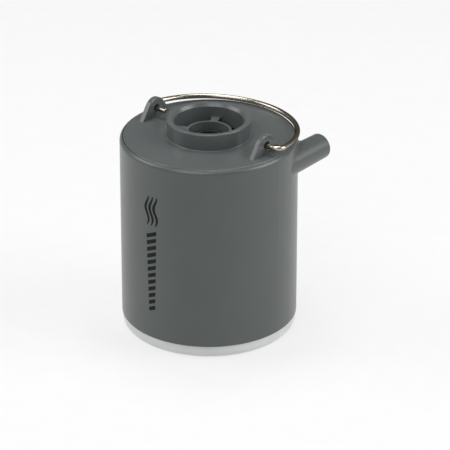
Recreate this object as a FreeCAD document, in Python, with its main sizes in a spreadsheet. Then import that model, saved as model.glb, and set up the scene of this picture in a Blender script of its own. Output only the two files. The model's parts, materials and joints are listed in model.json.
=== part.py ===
"""Cordless air mattress pump: a blower with a lamp in its base and a wire carrying handle.

The frame: +Z up along the axis of the round housing, the origin at the centre of the flat
face that the pump stands on. +X runs along the hinge line of the wire handle, and the air
leaves through the nozzle towards +Y. Every length is in millimetres.
"""
import FreeCAD, Part
import math
import os

import Sketcher

DOC = FreeCAD.newDocument("air_mattress_pump")
SHEET = DOC.addObject("Spreadsheet::Sheet", "sizes")

# ---------------------------------------------------------------- driving dimensions
DRIVING = {
    # outer shell
    "housing_radius": 42.5,
    "housing_wall": 2.2,
    "cover_level": 98.8,
    "rim_width": 1.3,
    "rim_round": 2.4,
    "rim_seal_margin": 0.5,
    "lens_height": 6.8,
    "lens_setback": 0.5,
    "lens_round": 3.5,
    "lens_wall": 2.0,
    "spigot_length": 4.0,
    "fit_gap": 0.1,
    "seal_section": 0.45,
    "seal_slack": 0.05,
    "seal_from_end": 1.7,
    # top cover
    "cover_thickness": 2.4,
    "cover_gap": 0.3,
    "cover_edge_round": 0.5,
    "collar_wall": 3.4,
    "collar_height": 8.2,
    "intake_radius": 16.6,
    "collar_lead_in": 1.1,
    "collar_lead_in_depth": 1.4,
    "collar_edge_round": 0.4,
    "collar_base_round": 0.5,
    "guard_outer_radius": 10.9,
    "guard_wall": 1.2,
    "guard_height": 2.0,
    "spoke_angle": 117.0,
    "spoke_gap_angle": 16.0,
    "spoke_round": 1.3,
    # handle and its lugs
    "lug_inset": 10.0,
    "lug_thickness": 2.8,
    "hinge_height": 4.3,
    "lug_head_radius": 6.2,
    "lug_head_drop": 1.0,
    "lug_base_half_width": 10.0,
    "lug_hole_radius": 2.1,
    "lug_edge_round": 0.5,
    "wire_radius": 1.2,
    "bail_inset": 1.83,
    "bail_shift": 1.9,
    "bail_bend_radius": 3.4,
    "bail_rest_gap": 0.37,
    "bail_left_overhang": 5.9,
    "bail_right_overhang": 0.9,
    "wire_end_round": 0.4,
    # outlet nozzle
    "nozzle_below_cover": 11.2,
    "nozzle_tip": 42.5,
    "nozzle_root": 6.0,
    "nozzle_bore": 5.2,
    "nozzle_wall": 1.0,
    "nozzle_taper": 0.66,
    "nozzle_blend": 1.6,
    "nozzle_edge_round": 0.4,
    # blower
    "scroll_floor": 1.6,
    "scroll_step": 3.2,
    "scroll_wall": 1.6,
    "channel_wall": 0.7,
    "tongue_angle": 8.0,
    "side_gap": 0.2,
    "ledge_width": 1.1,
    "ledge_height": 1.8,
    "impeller_gap": 2.1,
    "impeller_floor_gap": 1.2,
    "impeller_plate": 1.3,
    "impeller_hub_radius": 8.0,
    "impeller_hub_recess": 6.9,
    "impeller_hub_recess_depth": 5.0,
    "impeller_hub_below_cover": 1.7,
    "impeller_eye_lap": 1.6,
    "impeller_eye_wall": 1.1,
    "impeller_eye_below_cover": 3.2,
    "impeller_blade_height": 7.0,
    "blade_thickness": 1.0,
    "blade_count": 9.0,
    "blade_arc_radius": 18.0,
    "blade_arc_side": 0.7,
    "blade_arc_back": 15.2,
    "blade_arc_start": -5.0,
    "blade_arc_end": 62.0,
    # motor
    "motor_pad_thickness": 0.6,
    "motor_radius": 12.2,
    "motor_can_length": 25.8,
    "motor_can_wall": 1.0,
    "motor_cap_length": 5.0,
    "motor_cap_wall": 1.4,
    "motor_boss_radius": 3.1,
    "motor_boss_height": 1.5,
    "bearing_radius": 2.4,
    "bearing_length": 2.2,
    "shaft_radius": 1.0,
    "shaft_gap": 0.03,
    "shaft_tail": 0.6,
    "shaft_head": 0.9,
    "armature_radius": 8.6,
    "armature_length": 14.0,
    "armature_from_cap": 4.0,
    "armature_hub_radius": 3.0,
    "pole_neck": 3.2,
    "pole_shoe": 1.7,
    "pole_shoe_angle": 96.0,
    "air_gap": 0.5,
    "magnet_angle": 130.0,
    "magnet_overhang": 1.0,
    "winding_half_width": 3.8,
    "winding_overhang": 2.0,
    "winding_gap": 0.2,
    "commutator_radius": 2.4,
    "commutator_length": 3.2,
    "brush_gap": 0.05,
    "brush_half_width": 0.9,
    "brush_height": 1.8,
    "motor_screw_pitch": 8.5,
    "motor_screw_sink": 0.96,
    "terminal_spread": 8.0,
    "terminal_half_width": 1.35,
    "terminal_half_thickness": 0.3,
    "terminal_length": 4.0,
    # fasteners: self-tapping screws with pan heads
    "screw_radius": 1.0,
    "screw_head_radius": 1.9,
    "screw_head_height": 1.4,
    "screw_hole_gap": 0.15,
    "bore_allowance": 0.45,
    "cover_screw_inset": 2.4,
    "cover_screw_short": 2.0,
    "cover_boss_radius": 1.9,
    "cover_boss_length": 9.0,
    "screw_lug_radius": 3.0,
    "screw_lug_height": 4.0,
    "chassis_screw_inset": 5.3,
    "chassis_boss_radius": 3.2,
    "chassis_boss_length": 9.0,
    "chassis_screw_bite": 6.0,
    "lamp_screw_circle": 18.5,
    "lamp_screw_bite": 1.1,
    "lamp_post_radius": 2.6,
    # chassis, cells and boards
    "chassis_level": 11.2,
    "chassis_thickness": 2.2,
    "cell_radius": 9.2,
    "cell_length": 65.0,
    "cell_angle": 34.9,
    "cell_from_wall": 3.9,
    "cell_gap": 0.2,
    "cell_nub_radius": 3.2,
    "cell_nub_height": 0.8,
    "cell_edge_round": 0.8,
    "cup_wall": 1.5,
    "cup_height": 10.0,
    "strap_thickness": 0.2,
    "strap_half_width": 2.0,
    "strap_slot_height": 0.6,
    "strap_forward": 1.0,
    "cell_pad_radius": 8.0,
    "rail_side": 15.0,
    "rail_half_width": 2.5,
    "rail_depth": 4.5,
    "rail_short": 1.6,
    "board_behind_flat": 14.0,
    "board_thickness": 1.6,
    "board_half_width": 18.0,
    "board_bottom": 22.0,
    "board_below_scroll": 4.6,
    "board_screw_inset": 6.0,
    "lamp_board_margin": 2.6,
    "lamp_board_thickness": 1.2,
    "lamp_board_gap": 1.4,
    "reflector_gap": 0.9,
    "reflector_thickness": 1.4,
    "lamp_hole_radius": 2.5,
    "lamp_ring_inset": 5.0,
    "lamp_inner_ring_radius": 11.0,
    "lamp_chip_half_width": 1.75,
    "lamp_chip_thickness": 0.7,
    # push button, seen on the rear face
    "button_level": 60.0,
    "button_radius": 6.3,
    "button_side_gap": 0.3,
    "button_recess_margin": 1.9,
    "rear_flat_depth": 1.5,
    "button_stand": 0.8,
    "button_dish": 0.35,
    "button_rim": 1.25,
    "button_dish_slope": 0.65,
    "button_edge_round": 0.4,
    "button_flange": 1.4,
    "button_flange_thickness": 1.2,
    "guide_depth": 4.0,
    "guide_wall": 2.6,
    "button_stem_radius": 2.0,
    "switch_half_width": 3.0,
    "switch_height": 3.6,
    "plunger_radius": 1.7,
    "plunger_height": 1.7,
    "plunger_depth": 1.0,
    "plunger_well": 2.4,
    "plunger_gap": 0.05,
    # charging port and its rubber cover
    "port_level": 36.0,
    "port_half_width": 4.5,
    "port_half_height": 1.65,
    "port_gap": 0.25,
    "port_setback": 1.6,
    "port_shell": 0.3,
    "port_back_wall": 1.2,
    "port_tongue_half_width": 3.3,
    "port_tongue_half_height": 0.35,
    "port_tongue_short": 1.6,
    "flap_half_width": 6.8,
    "flap_height": 6.6,
    "flap_thickness": 0.85,
    "flap_lift": 0.05,
    "flap_below_port": 3.0,
    "flap_edge_gap": 0.45,
    "flap_plug_half_width": 3.7,
    "flap_plug_half_height": 1.1,
    "flap_plug_depth": 1.1,
    "flap_tab": 0.9,
    "flap_tab_half_width": 2.5,
    "anchor_gap": 1.0,
    "anchor_height": 1.9,
    "anchor_stud_radius": 0.9,
    "anchor_stud_length": 3.0,
    "anchor_stud_gap": 0.05,
    # charge lights
    "light_level": 48.0,
    "light_pitch": 4.0,
    "light_radius": 0.8,
    "light_setback": 0.3,
    "light_bar_behind_flat": 8.0,
    "light_bar_depth": 1.5,
    "light_bar_half_height": 1.3,
    "light_chip_half_width": 0.8,
    "light_chip_thickness": 0.7,
    # board components
    "chip_half_width": 2.5,
    "chip_thickness": 1.1,
    "chip_side": 7.5,
    "chip_rise": 5.0,
    "coil_radius": 3.2,
    "coil_height": 3.0,
    "coil_side": 11.0,
    # insulated leads
    "lead_radius": 0.65,
    "lamp_lead_forward": 6.0,
    "lamp_lead_hole": 2.1,
}


class Size:
    """A length that knows its value and the sheet formula that it comes from."""

    def __init__(self, value, formula):
        self.value = value
        self.formula = formula

    def __add__(self, other):
        other = as_size(other)
        return Size(self.value + other.value, f"({self.formula} + {other.formula})")

    def __sub__(self, other):
        other = as_size(other)
        return Size(self.value - other.value, f"({self.formula} - {other.formula})")

    def __mul__(self, other):
        other = as_size(other)
        return Size(self.value * other.value, f"({self.formula} * {other.formula})")

    def __truediv__(self, other):
        other = as_size(other)
        return Size(self.value / other.value, f"({self.formula} / {other.formula})")

    def __neg__(self):
        return Size(-self.value, f"(0 - {self.formula})")

    def __radd__(self, other):
        return as_size(other) + self

    def __rsub__(self, other):
        return as_size(other) - self

    def __rmul__(self, other):
        return as_size(other) * self


def as_size(number):
    """Return a plain number as a Size, and a Size as it is."""
    if isinstance(number, Size):
        return number
    return Size(float(number), repr(float(number)))


def fill_sheet():
    """Write the driving dimensions into the sheet, one row each, under their aliases."""
    for row, (alias, number) in enumerate(DRIVING.items(), start=1):
        SHEET.set(f"A{row}", alias)
        SHEET.set(f"B{row}", str(number))
        SHEET.setAlias(f"B{row}", alias)
    DOC.recompute()


def d(alias):
    """Return one driving dimension as a Size."""
    return Size(float(SHEET.get(alias)), f"sizes.{alias}")


def root(size):
    """Return the square root of a Size."""
    return Size(math.sqrt(size.value), f"sqrt({size.formula})")


def cosine(angle):
    """Return the cosine of an angle in degrees."""
    return Size(math.cos(math.radians(angle.value)), f"cos({angle.formula} * 1 deg)")


def sine(angle):
    """Return the sine of an angle in degrees."""
    return Size(math.sin(math.radians(angle.value)), f"sin({angle.formula} * 1 deg)")


def arcsine(ratio):
    """Return the angle in degrees whose sine is a ratio."""
    return Size(math.degrees(math.asin(ratio.value)), f"(asin({ratio.formula}) / 1 deg)")


# ---------------------------------------------------------------- document helpers
def bind(feature, name, size):
    """Give a property the value of a Size, and tie it to the sheet."""
    feature.setExpression(name, as_size(size).formula)


def new_body(name):
    """Add a body that carries the node's name."""
    body = DOC.addObject("PartDesign::Body", name)
    body.Label = name
    body.AllowCompound = True
    return body


def place(body, x=0, y=0, z=0, axis=(0, 0, 1), angle=0):
    """Turn a body about an axis through its own origin, then move it."""
    turn = as_size(angle)
    body.Placement = FreeCAD.Placement(
        FreeCAD.Vector(0, 0, 0), FreeCAD.Rotation(FreeCAD.Vector(*axis), turn.value))
    bind(body, "Placement.Base.x", x)
    bind(body, "Placement.Base.y", y)
    bind(body, "Placement.Base.z", z)
    if isinstance(angle, Size):
        bind(body, "Placement.Rotation.Angle", turn)


def place_facing_rear(body, x, z):
    """Lay a body down so that its own Z runs along +Y, at a place on the rear side."""
    place(body, x, 0, z, axis=(1, 0, 0), angle=-90)


def new_sketch(body, name, role, offset=0):
    """Attach a sketch to one of the body's own planes, an offset along that plane's normal."""
    sketch = body.newObject("Sketcher::SketchObject", name)
    plane = [item for item in body.Origin.OriginFeatures if item.Role == role][0]
    sketch.AttachmentSupport = [(plane, "")]
    sketch.MapMode = "FlatFace"
    bind(sketch, "AttachmentOffset.Base.z", offset)
    return sketch


def constrain(sketch, kind, *arguments):
    """Add a constraint; a Size as its last argument stays tied to the sheet."""
    last = arguments[-1]
    if isinstance(last, Size):
        number = sketch.addConstraint(Sketcher.Constraint(kind, *arguments[:-1], last.value))
        sketch.setExpression(f"Constraints[{number}]", last.formula)
    else:
        sketch.addConstraint(Sketcher.Constraint(kind, *arguments))


def fix_point(sketch, geometry, point, x, y):
    """Fix a point of the sketch at x, y from the sketch's origin."""
    constrain(sketch, "DistanceX", -1, 1, geometry, point, as_size(x))
    constrain(sketch, "DistanceY", -1, 1, geometry, point, as_size(y))


def vector(x, y, z=0):
    """Return a vector of the values of up to three Sizes."""
    return FreeCAD.Vector(as_size(x).value, as_size(y).value, as_size(z).value)


def add_polygon(sketch, points):
    """Draw a closed polygon through the points and return its first line's number."""
    first = sketch.GeometryCount
    count = len(points)
    for index, (x, y) in enumerate(points):
        end_x, end_y = points[(index + 1) % count]
        sketch.addGeometry(Part.LineSegment(vector(x, y), vector(end_x, end_y)), False)
    for index, (x, y) in enumerate(points):
        constrain(sketch, "Coincident", first + index, 2, first + (index + 1) % count, 1)
        fix_point(sketch, first + index, 1, x, y)
    return first


def add_circles(sketch, circles):
    """Draw circles, each given as x, y and radius."""
    for x, y, radius in circles:
        centre = vector(x, y)
        shape = Part.Circle(centre, FreeCAD.Vector(0, 0, 1), as_size(radius).value)
        number = sketch.addGeometry(shape, False)
        fix_point(sketch, number, 3, x, y)
        constrain(sketch, "Radius", number, as_size(radius))


def add_rectangles(sketch, rectangles):
    """Draw rectangles, each given as its lowest and highest x and y."""
    for low_x, low_y, high_x, high_y in rectangles:
        add_polygon(sketch, [(low_x, low_y), (high_x, low_y), (high_x, high_y), (low_x, high_y)])


def arc(centre, radius, start, end):
    """Return an arc about a centre, its angles in degrees."""
    circle = Part.Circle(centre, FreeCAD.Vector(0, 0, 1), radius)
    return Part.ArcOfCircle(circle, math.radians(start), math.radians(end))


def add_sector(sketch, centre, inner, outer, start, end):
    """Draw a slice of a ring about a centre, between two radii and two angles in degrees."""
    middle = vector(*centre)
    inner_arc = sketch.addGeometry(arc(middle, inner.value, start.value, end.value), False)
    outer_arc = sketch.addGeometry(arc(middle, outer.value, start.value, end.value), False)
    fix_point(sketch, inner_arc, 3, *centre)
    constrain(sketch, "Coincident", outer_arc, 3, inner_arc, 3)
    constrain(sketch, "Radius", inner_arc, inner)
    constrain(sketch, "Radius", outer_arc, outer)
    for point, angle in ((1, start), (2, end)):
        way = vector(cosine(angle), sine(angle))
        side = Part.LineSegment(middle + way * inner.value, middle + way * outer.value)
        line = sketch.addGeometry(side, False)
        constrain(sketch, "Coincident", line, 1, inner_arc, point)
        constrain(sketch, "Coincident", line, 2, outer_arc, point)
        constrain(sketch, "PointOnObject", inner_arc, 3, line)
        constrain(sketch, "Angle", line, Size(math.radians(angle.value), f"{angle.formula} * 1 deg"))


def add_axis(sketch, start, end):
    """Draw a construction line, which a feature can turn about as Axis0."""
    line = sketch.addGeometry(Part.LineSegment(vector(*start), vector(*end)), True)
    fix_point(sketch, line, 1, *start)
    fix_point(sketch, line, 2, *end)


def add_feature(body, kind, name, sketch):
    """Add a PartDesign feature that uses a sketch."""
    feature = body.newObject(f"PartDesign::{kind}", name)
    feature.Profile = sketch
    sketch.Visibility = False
    return feature


def pad(body, name, sketch, length, backwards=False):
    """Extrude a sketch along its normal, or against it."""
    feature = add_feature(body, "Pad", name, sketch)
    bind(feature, "Length", length)
    feature.Reversed = backwards
    return feature


def pocket(body, name, sketch, length, along_normal=False):
    """Cut a sketch out of the body against its normal, or along it, and see that it did cut."""
    DOC.recompute()
    before = body.Shape.Volume
    feature = add_feature(body, "Pocket", name, sketch)
    bind(feature, "Length", length)
    feature.Reversed = along_normal
    DOC.recompute()
    if not body.Shape.Volume < before:
        raise ValueError(f"{name} removed nothing")
    return feature


def turned(body, name, sketch, axis="V_Axis", cut=False):
    """Turn a sketch all round its vertical axis or another one, as material or as a cut."""
    feature = add_feature(body, "Groove" if cut else "Revolution", name, sketch)
    feature.ReferenceAxis = (sketch, [axis])
    feature.Angle = 360
    return feature


def polar(body, name, features, count, angle=360):
    """Repeat features about the body's Z axis, over a whole turn or part of one."""
    pattern = body.newObject("PartDesign::PolarPattern", name)
    pattern.Originals = features
    axis = [item for item in body.Origin.OriginFeatures if item.Role == "Z_Axis"][0]
    pattern.Axis = (axis, [""])
    pattern.Angle = angle
    pattern.Occurrences = count
    body.Tip = pattern
    return pattern


def round_edges(body, name, radius, wanted):
    """Round every edge of the body that wanted picks out; there has to be one."""
    DOC.recompute()
    base = body.Tip
    edges = base.Shape.Edges
    names = [f"Edge{index}" for index, edge in enumerate(edges, start=1) if wanted(edge)]
    if not names:
        raise ValueError(f"{name} found no edge")
    feature = body.newObject("PartDesign::Fillet", name)
    feature.Base = (base, names)
    bind(feature, "Radius", radius)
    return feature


def near(first, second, tolerance=0.02):
    """Say whether two numbers or Sizes agree."""
    return abs(as_size(first).value - as_size(second).value) < tolerance


def circle_at(radius, level):
    """Return a test for a circular edge about the Z axis, of a radius and at a level."""
    def wanted(edge):
        curve = edge.Curve
        if not isinstance(curve, Part.Circle):
            return False
        on_axis = near(math.hypot(curve.Center.x, curve.Center.y), 0)
        return on_axis and near(curve.Radius, radius) and near(curve.Center.z, level)
    return wanted


def upright_at(radius):
    """Return a test for a straight upright edge at a distance from the Z axis."""
    def wanted(edge):
        if not isinstance(edge.Curve, Part.Line):
            return False
        first, last = edge.Vertexes[0].Point, edge.Vertexes[-1].Point
        upright = near(first.x, last.x) and near(first.y, last.y)
        return upright and near(math.hypot(first.x, first.y), radius)
    return wanted


def turned_body(name, points, cuts=()):
    """Make a round body about Z from the r, z points of its section, less cut sections."""
    body = new_body(name)
    section = new_sketch(body, f"{name}_section", "XZ_Plane")
    add_polygon(section, points)
    turned(body, f"{name}_turned", section)
    for number, cut_points in enumerate(cuts, start=1):
        cut_section = new_sketch(body, f"{name}_cut_section_{number}", "XZ_Plane")
        add_polygon(cut_section, cut_points)
        turned(body, f"{name}_cut_{number}", cut_section, cut=True)
    return body


def ring_points(inner, outer, low, high):
    """Return the section of a plain ring or, with an inner radius of 0, a disc."""
    return [(inner, low), (outer, low), (outer, high), (inner, high)]


def disc_pads(body, name, role, offset, circles, length):
    """Extrude round posts along a plane's normal."""
    sketch = new_sketch(body, f"{name}_sketch", role, offset)
    add_circles(sketch, circles)
    return pad(body, name, sketch, length)


def box_pads(body, name, role, offset, rectangles, length):
    """Extrude rectangles along a plane's normal."""
    sketch = new_sketch(body, f"{name}_sketch", role, offset)
    add_rectangles(sketch, rectangles)
    return pad(body, name, sketch, length)


def on_circle(radius, angles):
    """Return points on a circle about the axis, at angles in degrees."""
    return [(radius * cosine(as_size(angle)), radius * sine(as_size(angle))) for angle in angles]


def screws(name, places, seat, length, role="XY_Plane"):
    """Make a group of equal screws whose heads are below a seat and whose shanks go up."""
    body = new_body(name)
    heads = [(x, y, d("screw_head_radius")) for x, y in places]
    shanks = [(x, y, d("screw_radius")) for x, y in places]
    head_height = d("screw_head_height")
    disc_pads(body, f"{name}_heads", role, seat - head_height, heads, head_height)
    disc_pads(body, f"{name}_shanks", role, seat, shanks, length)
    return body


fill_sheet()

# ---------------------------------------------------------------- shared places
# how far a cut runs past the face that it opens, or a piece sinks into the one it joins
OVERRUN = 1.0

INNER_WALL = d("housing_radius") - d("housing_wall")
SEAT_RADIUS = d("housing_radius") - d("rim_width")
COVER_TOP = d("cover_level")
COVER_UNDER = COVER_TOP - d("cover_thickness")
COLLAR_RADIUS = d("intake_radius") + d("collar_wall")
HINGE_LEVEL = COVER_TOP + d("hinge_height")
LUG_INNER_FACE = d("housing_radius") - d("lug_inset")
BAIL_RADIUS = d("housing_radius") - d("bail_inset")
BAIL_LEFT_END = -LUG_INNER_FACE + d("bail_left_overhang")
BAIL_RIGHT_END = LUG_INNER_FACE - d("bail_right_overhang")
SPIGOT_RADIUS = INNER_WALL - d("fit_gap")
SPIGOT_TOP = d("lens_height") + d("spigot_length")
LENS_INNER = SPIGOT_RADIUS - d("lens_wall")
LENS_SEAL_LEVEL = SPIGOT_TOP - d("seal_from_end")
COVER_SEAL_LEVEL = COVER_UNDER + d("seal_section") + d("rim_seal_margin")

# blower and outlet; the four quarter arcs of the channel step out by 3 and a half steps
SCROLL_TOP = COVER_UNDER
SCROLL_RADIUS = INNER_WALL - d("side_gap")
NOZZLE_LEVEL = COVER_TOP - d("nozzle_below_cover")
NOZZLE_OFFSET = SCROLL_RADIUS - d("channel_wall") - d("nozzle_bore")
NOZZLE_TIP_RADIUS = d("nozzle_bore") + d("nozzle_wall")
NOZZLE_ROOT_RADIUS = NOZZLE_TIP_RADIUS + d("nozzle_taper")
SCROLL_FLOOR_TOP = NOZZLE_LEVEL - d("nozzle_bore") - d("side_gap")
SCROLL_UNDER = SCROLL_FLOOR_TOP - d("scroll_floor")
OUTLET_OUTER = NOZZLE_OFFSET + d("nozzle_bore")
OUTLET_INNER = NOZZLE_OFFSET - d("nozzle_bore")
SCROLL_FIRST_RADIUS = OUTLET_OUTER - d("scroll_step") * 3.5
IMPELLER_RADIUS = SCROLL_FIRST_RADIUS - d("scroll_step") / 2 - d("impeller_gap")
IMPELLER_LOW = SCROLL_FLOOR_TOP + d("impeller_floor_gap")
BLADE_LOW = IMPELLER_LOW + d("impeller_plate")
SHROUD_LOW = BLADE_LOW + d("impeller_blade_height")
HUB_TOP = COVER_TOP - d("impeller_hub_below_cover")
HUB_RECESS_FLOOR = HUB_TOP - d("impeller_hub_recess_depth")
# the two hollows in the tray's thick side, between angles in degrees
HOLLOWS = (("rear", 99, 128), ("left", 142, 171))

# motor
MOTOR_TOP = SCROLL_UNDER - d("motor_pad_thickness")
MOTOR_SEAM = MOTOR_TOP - d("motor_can_length")
MOTOR_BOTTOM = MOTOR_SEAM - d("motor_cap_length")
SHAFT_TOP = HUB_RECESS_FLOOR + d("shaft_head")
SHAFT_BOTTOM = MOTOR_BOTTOM - d("shaft_tail")
CAN_INNER = d("motor_radius") - d("motor_can_wall")
ARMATURE_LOW = MOTOR_SEAM + d("armature_from_cap")
ARMATURE_HIGH = ARMATURE_LOW + d("armature_length")
MAGNET_INNER = d("armature_radius") + d("air_gap")
MOTOR_SCREW_SEAT = SCROLL_FLOOR_TOP - d("motor_screw_sink")
MOTOR_SCREW_LENGTH = MOTOR_SCREW_SEAT - MOTOR_TOP + d("motor_can_wall")
MOTOR_SCREW_PLACES = [(d("motor_screw_pitch"), as_size(0)), (-d("motor_screw_pitch"), as_size(0))]

# screws
CORE_RADIUS = d("screw_radius")
LOOSE_RADIUS = d("screw_radius") + d("screw_hole_gap")
THREE_WAYS = (30, 150, 270)
CHASSIS_SCREW_CIRCLE = INNER_WALL - d("chassis_screw_inset")
COVER_SCREW_CIRCLE = INNER_WALL - d("cover_screw_inset")
BOSS_WELL_RADIUS = d("cover_boss_radius") + d("fit_gap")
# the first cover screw stands just inside the outlet channel, the others opposite it
COVER_SCREW_SIDE = OUTLET_INNER - d("side_gap") - BOSS_WELL_RADIUS
COVER_SCREW_REAR = root(COVER_SCREW_CIRCLE * COVER_SCREW_CIRCLE - COVER_SCREW_SIDE * COVER_SCREW_SIDE)
COVER_SCREW_PLACES = [(COVER_SCREW_SIDE, COVER_SCREW_REAR)] + on_circle(COVER_SCREW_CIRCLE, (135, 225))

# chassis, cells, rear controls and boards
CHASSIS_TOP = d("chassis_level") + d("chassis_thickness")
CELL_BOTTOM = CHASSIS_TOP + d("strap_thickness")
CELL_TOP = CELL_BOTTOM + d("cell_length")
CUP_RADIUS = d("cell_radius") + d("cell_gap") + d("cup_wall")
CELL_CIRCLE = INNER_WALL - d("cell_from_wall") - CUP_RADIUS
CELL_SIDE = CELL_CIRCLE * cosine(d("cell_angle"))
CELL_BACK = CELL_CIRCLE * sine(d("cell_angle"))
STRAP_Y = -CELL_BACK - d("strap_forward")
REAR_FLAT = d("housing_radius") - d("rear_flat_depth")
GUIDE_FACE = REAR_FLAT - d("guide_depth")
BOARD_FACE = REAR_FLAT - d("board_behind_flat")
BOARD_FRONT = BOARD_FACE + d("board_thickness")
BOARD_TOP = SCROLL_UNDER - d("board_below_scroll")
BOARD_SCREW_LEVELS = (d("board_bottom") + d("board_screw_inset"), BOARD_TOP - d("board_screw_inset"))
BOARD_SCREW_PLACES = [(sign * d("rail_side"), level) for sign in (-1, 1) for level in BOARD_SCREW_LEVELS]
LAMP_BOARD_RADIUS = CHASSIS_SCREW_CIRCLE - d("screw_head_radius") - d("lamp_board_margin")
LAMP_BOARD_TOP = d("chassis_level") - d("lamp_board_gap")
LAMP_BOARD_UNDER = LAMP_BOARD_TOP - d("lamp_board_thickness")
REFLECTOR_LOW = LAMP_BOARD_UNDER - d("reflector_thickness")
LAMP_LEAD_Y = BOARD_FACE - d("lamp_lead_forward")
FLAP_LOW = d("port_level") - d("flap_below_port")
FLAP_BACK = REAR_FLAT + d("flap_lift")
ANCHOR_HIGH = FLAP_LOW - d("anchor_gap")
ANCHOR_LOW = ANCHOR_HIGH - d("anchor_height")
PORT_LENGTH = REAR_FLAT - d("port_setback") - BOARD_FRONT


# ---------------------------------------------------------------- outer shell
def rear_sketch(body, name, y):
    """Start a sketch on an upright plane that faces the rear, at a distance y from the axis."""
    return new_sketch(body, name, "XZ_Plane", -y)


def on_nozzle_seam(edge):
    """Pick the edge where the nozzle meets the round wall."""
    points = edge.discretize(9)
    wall = d("housing_radius").value
    on_wall = all(near(math.hypot(point.x, point.y), wall, 0.05) for point in points)
    outside = all(point.y > 0 for point in points)
    level = NOZZLE_LEVEL.value
    reach = NOZZLE_ROOT_RADIUS.value + d("nozzle_blend").value
    close = all(abs(point.z - level) < reach for point in points)
    return on_wall and outside and close


def on_nozzle_tip(edge):
    """Pick the outer round edge of the nozzle's tip."""
    curve = edge.Curve
    if not isinstance(curve, Part.Circle):
        return False
    return near(curve.Center.y, d("nozzle_tip")) and near(curve.Radius, NOZZLE_TIP_RADIUS)


def add_nozzle(body):
    """Add the outlet: a slightly tapered tube that leaves the wall along +Y."""
    side = NOZZLE_OFFSET
    tube = new_sketch(body, "nozzle_section", "XY_Plane", NOZZLE_LEVEL)
    add_polygon(tube, [
        (side, d("nozzle_root")),
        (side + NOZZLE_ROOT_RADIUS, d("nozzle_root")),
        (side + NOZZLE_TIP_RADIUS, d("nozzle_tip")),
        (side, d("nozzle_tip")),
    ])
    add_axis(tube, (side, 0), (side, d("nozzle_tip")))
    turned(body, "nozzle_tube", tube, axis="Axis0")
    round_edges(body, "nozzle_blend", d("nozzle_blend"), on_nozzle_seam)


def cut_nozzle_bore(body):
    """Open the nozzle from its tip into the blower."""
    side = NOZZLE_OFFSET
    bore = new_sketch(body, "nozzle_bore_section", "XY_Plane", NOZZLE_LEVEL)
    end = d("nozzle_tip") + OVERRUN
    add_polygon(bore, [
        (side, 0),
        (side + d("nozzle_bore"), 0),
        (side + d("nozzle_bore"), end),
        (side, end),
    ])
    add_axis(bore, (side, 0), (side, d("nozzle_tip")))
    turned(body, "nozzle_bore_cut", bore, axis="Axis0", cut=True)
    round_edges(body, "nozzle_edge", d("nozzle_edge_round"), on_nozzle_tip)


def add_screw_lugs(body):
    """Add the lugs under the blower's ledge that the cover screws pass through."""
    low = SCROLL_UNDER - d("screw_lug_height")
    lugs = [(x, y, d("screw_lug_radius")) for x, y in COVER_SCREW_PLACES]
    disc_pads(body, "screw_lugs", "XY_Plane", low, lugs, d("screw_lug_height"))
    holes = new_sketch(body, "screw_lug_holes", "XY_Plane", SCROLL_UNDER + OVERRUN)
    add_circles(holes, [(x, y, LOOSE_RADIUS) for x, y in COVER_SCREW_PLACES])
    pocket(body, "screw_lug_bores", holes, d("screw_lug_height") + OVERRUN * 2)


def add_chassis_bosses(body):
    """Add three bosses, joined to the wall, that the chassis is screwed up to."""
    places = on_circle(CHASSIS_SCREW_CIRCLE, THREE_WAYS)
    radius = d("chassis_boss_radius")
    length = d("chassis_boss_length")
    posts = [(x, y, radius) for x, y in places]
    disc_pads(body, "chassis_bosses", "XY_Plane", CHASSIS_TOP, posts, length)
    roots = [(x, y, radius) for x, y in on_circle(INNER_WALL - radius / 2, THREE_WAYS)]
    disc_pads(body, "chassis_boss_roots", "XY_Plane", CHASSIS_TOP, roots, length)
    holes = new_sketch(body, "chassis_boss_holes", "XY_Plane", CHASSIS_TOP)
    add_circles(holes, [(x, y, CORE_RADIUS) for x, y in places])
    deep = d("chassis_screw_bite") + d("bore_allowance")
    pocket(body, "chassis_boss_bores", holes, deep, along_normal=True)


def add_rear_controls(body):
    """Shape the rear wall for the push button, the charging port and the charge lights."""
    level = d("button_level")
    hole = d("button_radius") + d("button_side_gap")
    guide = rear_sketch(body, "button_guide_sketch", GUIDE_FACE)
    add_circles(guide, [(0, level, hole + d("guide_wall"))])
    pad(body, "button_guide", guide, d("guide_depth"), backwards=True)
    recess = rear_sketch(body, "button_recess_sketch", REAR_FLAT)
    add_circles(recess, [(0, level, d("button_radius") + d("button_recess_margin"))])
    pocket(body, "button_recess", recess, d("guide_depth"))
    opening = rear_sketch(body, "button_hole_sketch", GUIDE_FACE - OVERRUN)
    add_circles(opening, [(0, level, hole)])
    pocket(body, "button_hole", opening, d("guide_depth") * 2)
    gap = d("flap_edge_gap")
    side = d("flap_half_width") + gap
    high = FLAP_LOW + d("flap_height") + d("flap_tab") + gap
    bay = rear_sketch(body, "port_recess_sketch", REAR_FLAT)
    add_rectangles(bay, [(-side, ANCHOR_LOW - gap, side, high)])
    pocket(body, "port_recess", bay, d("guide_depth"))
    wide = d("port_half_width") + d("port_gap")
    tall = d("port_half_height") + d("port_gap")
    inside = INNER_WALL - d("guide_depth")
    port = rear_sketch(body, "port_hole_sketch", inside)
    middle = d("port_level")
    add_rectangles(port, [(-wide, middle - tall, wide, middle + tall)])
    pocket(body, "port_hole", port, d("guide_depth") * 2)
    small = rear_sketch(body, "small_holes_sketch", inside)
    pitch = d("light_pitch")
    lights = [(pitch * step, d("light_level"), d("light_radius")) for step in (-1, 0, 1)]
    stud = (0, (ANCHOR_LOW + ANCHOR_HIGH) / 2, d("anchor_stud_radius") + d("anchor_stud_gap"))
    add_circles(small, lights + [stud])
    pocket(body, "small_holes", small, d("guide_depth") * 2)


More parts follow.
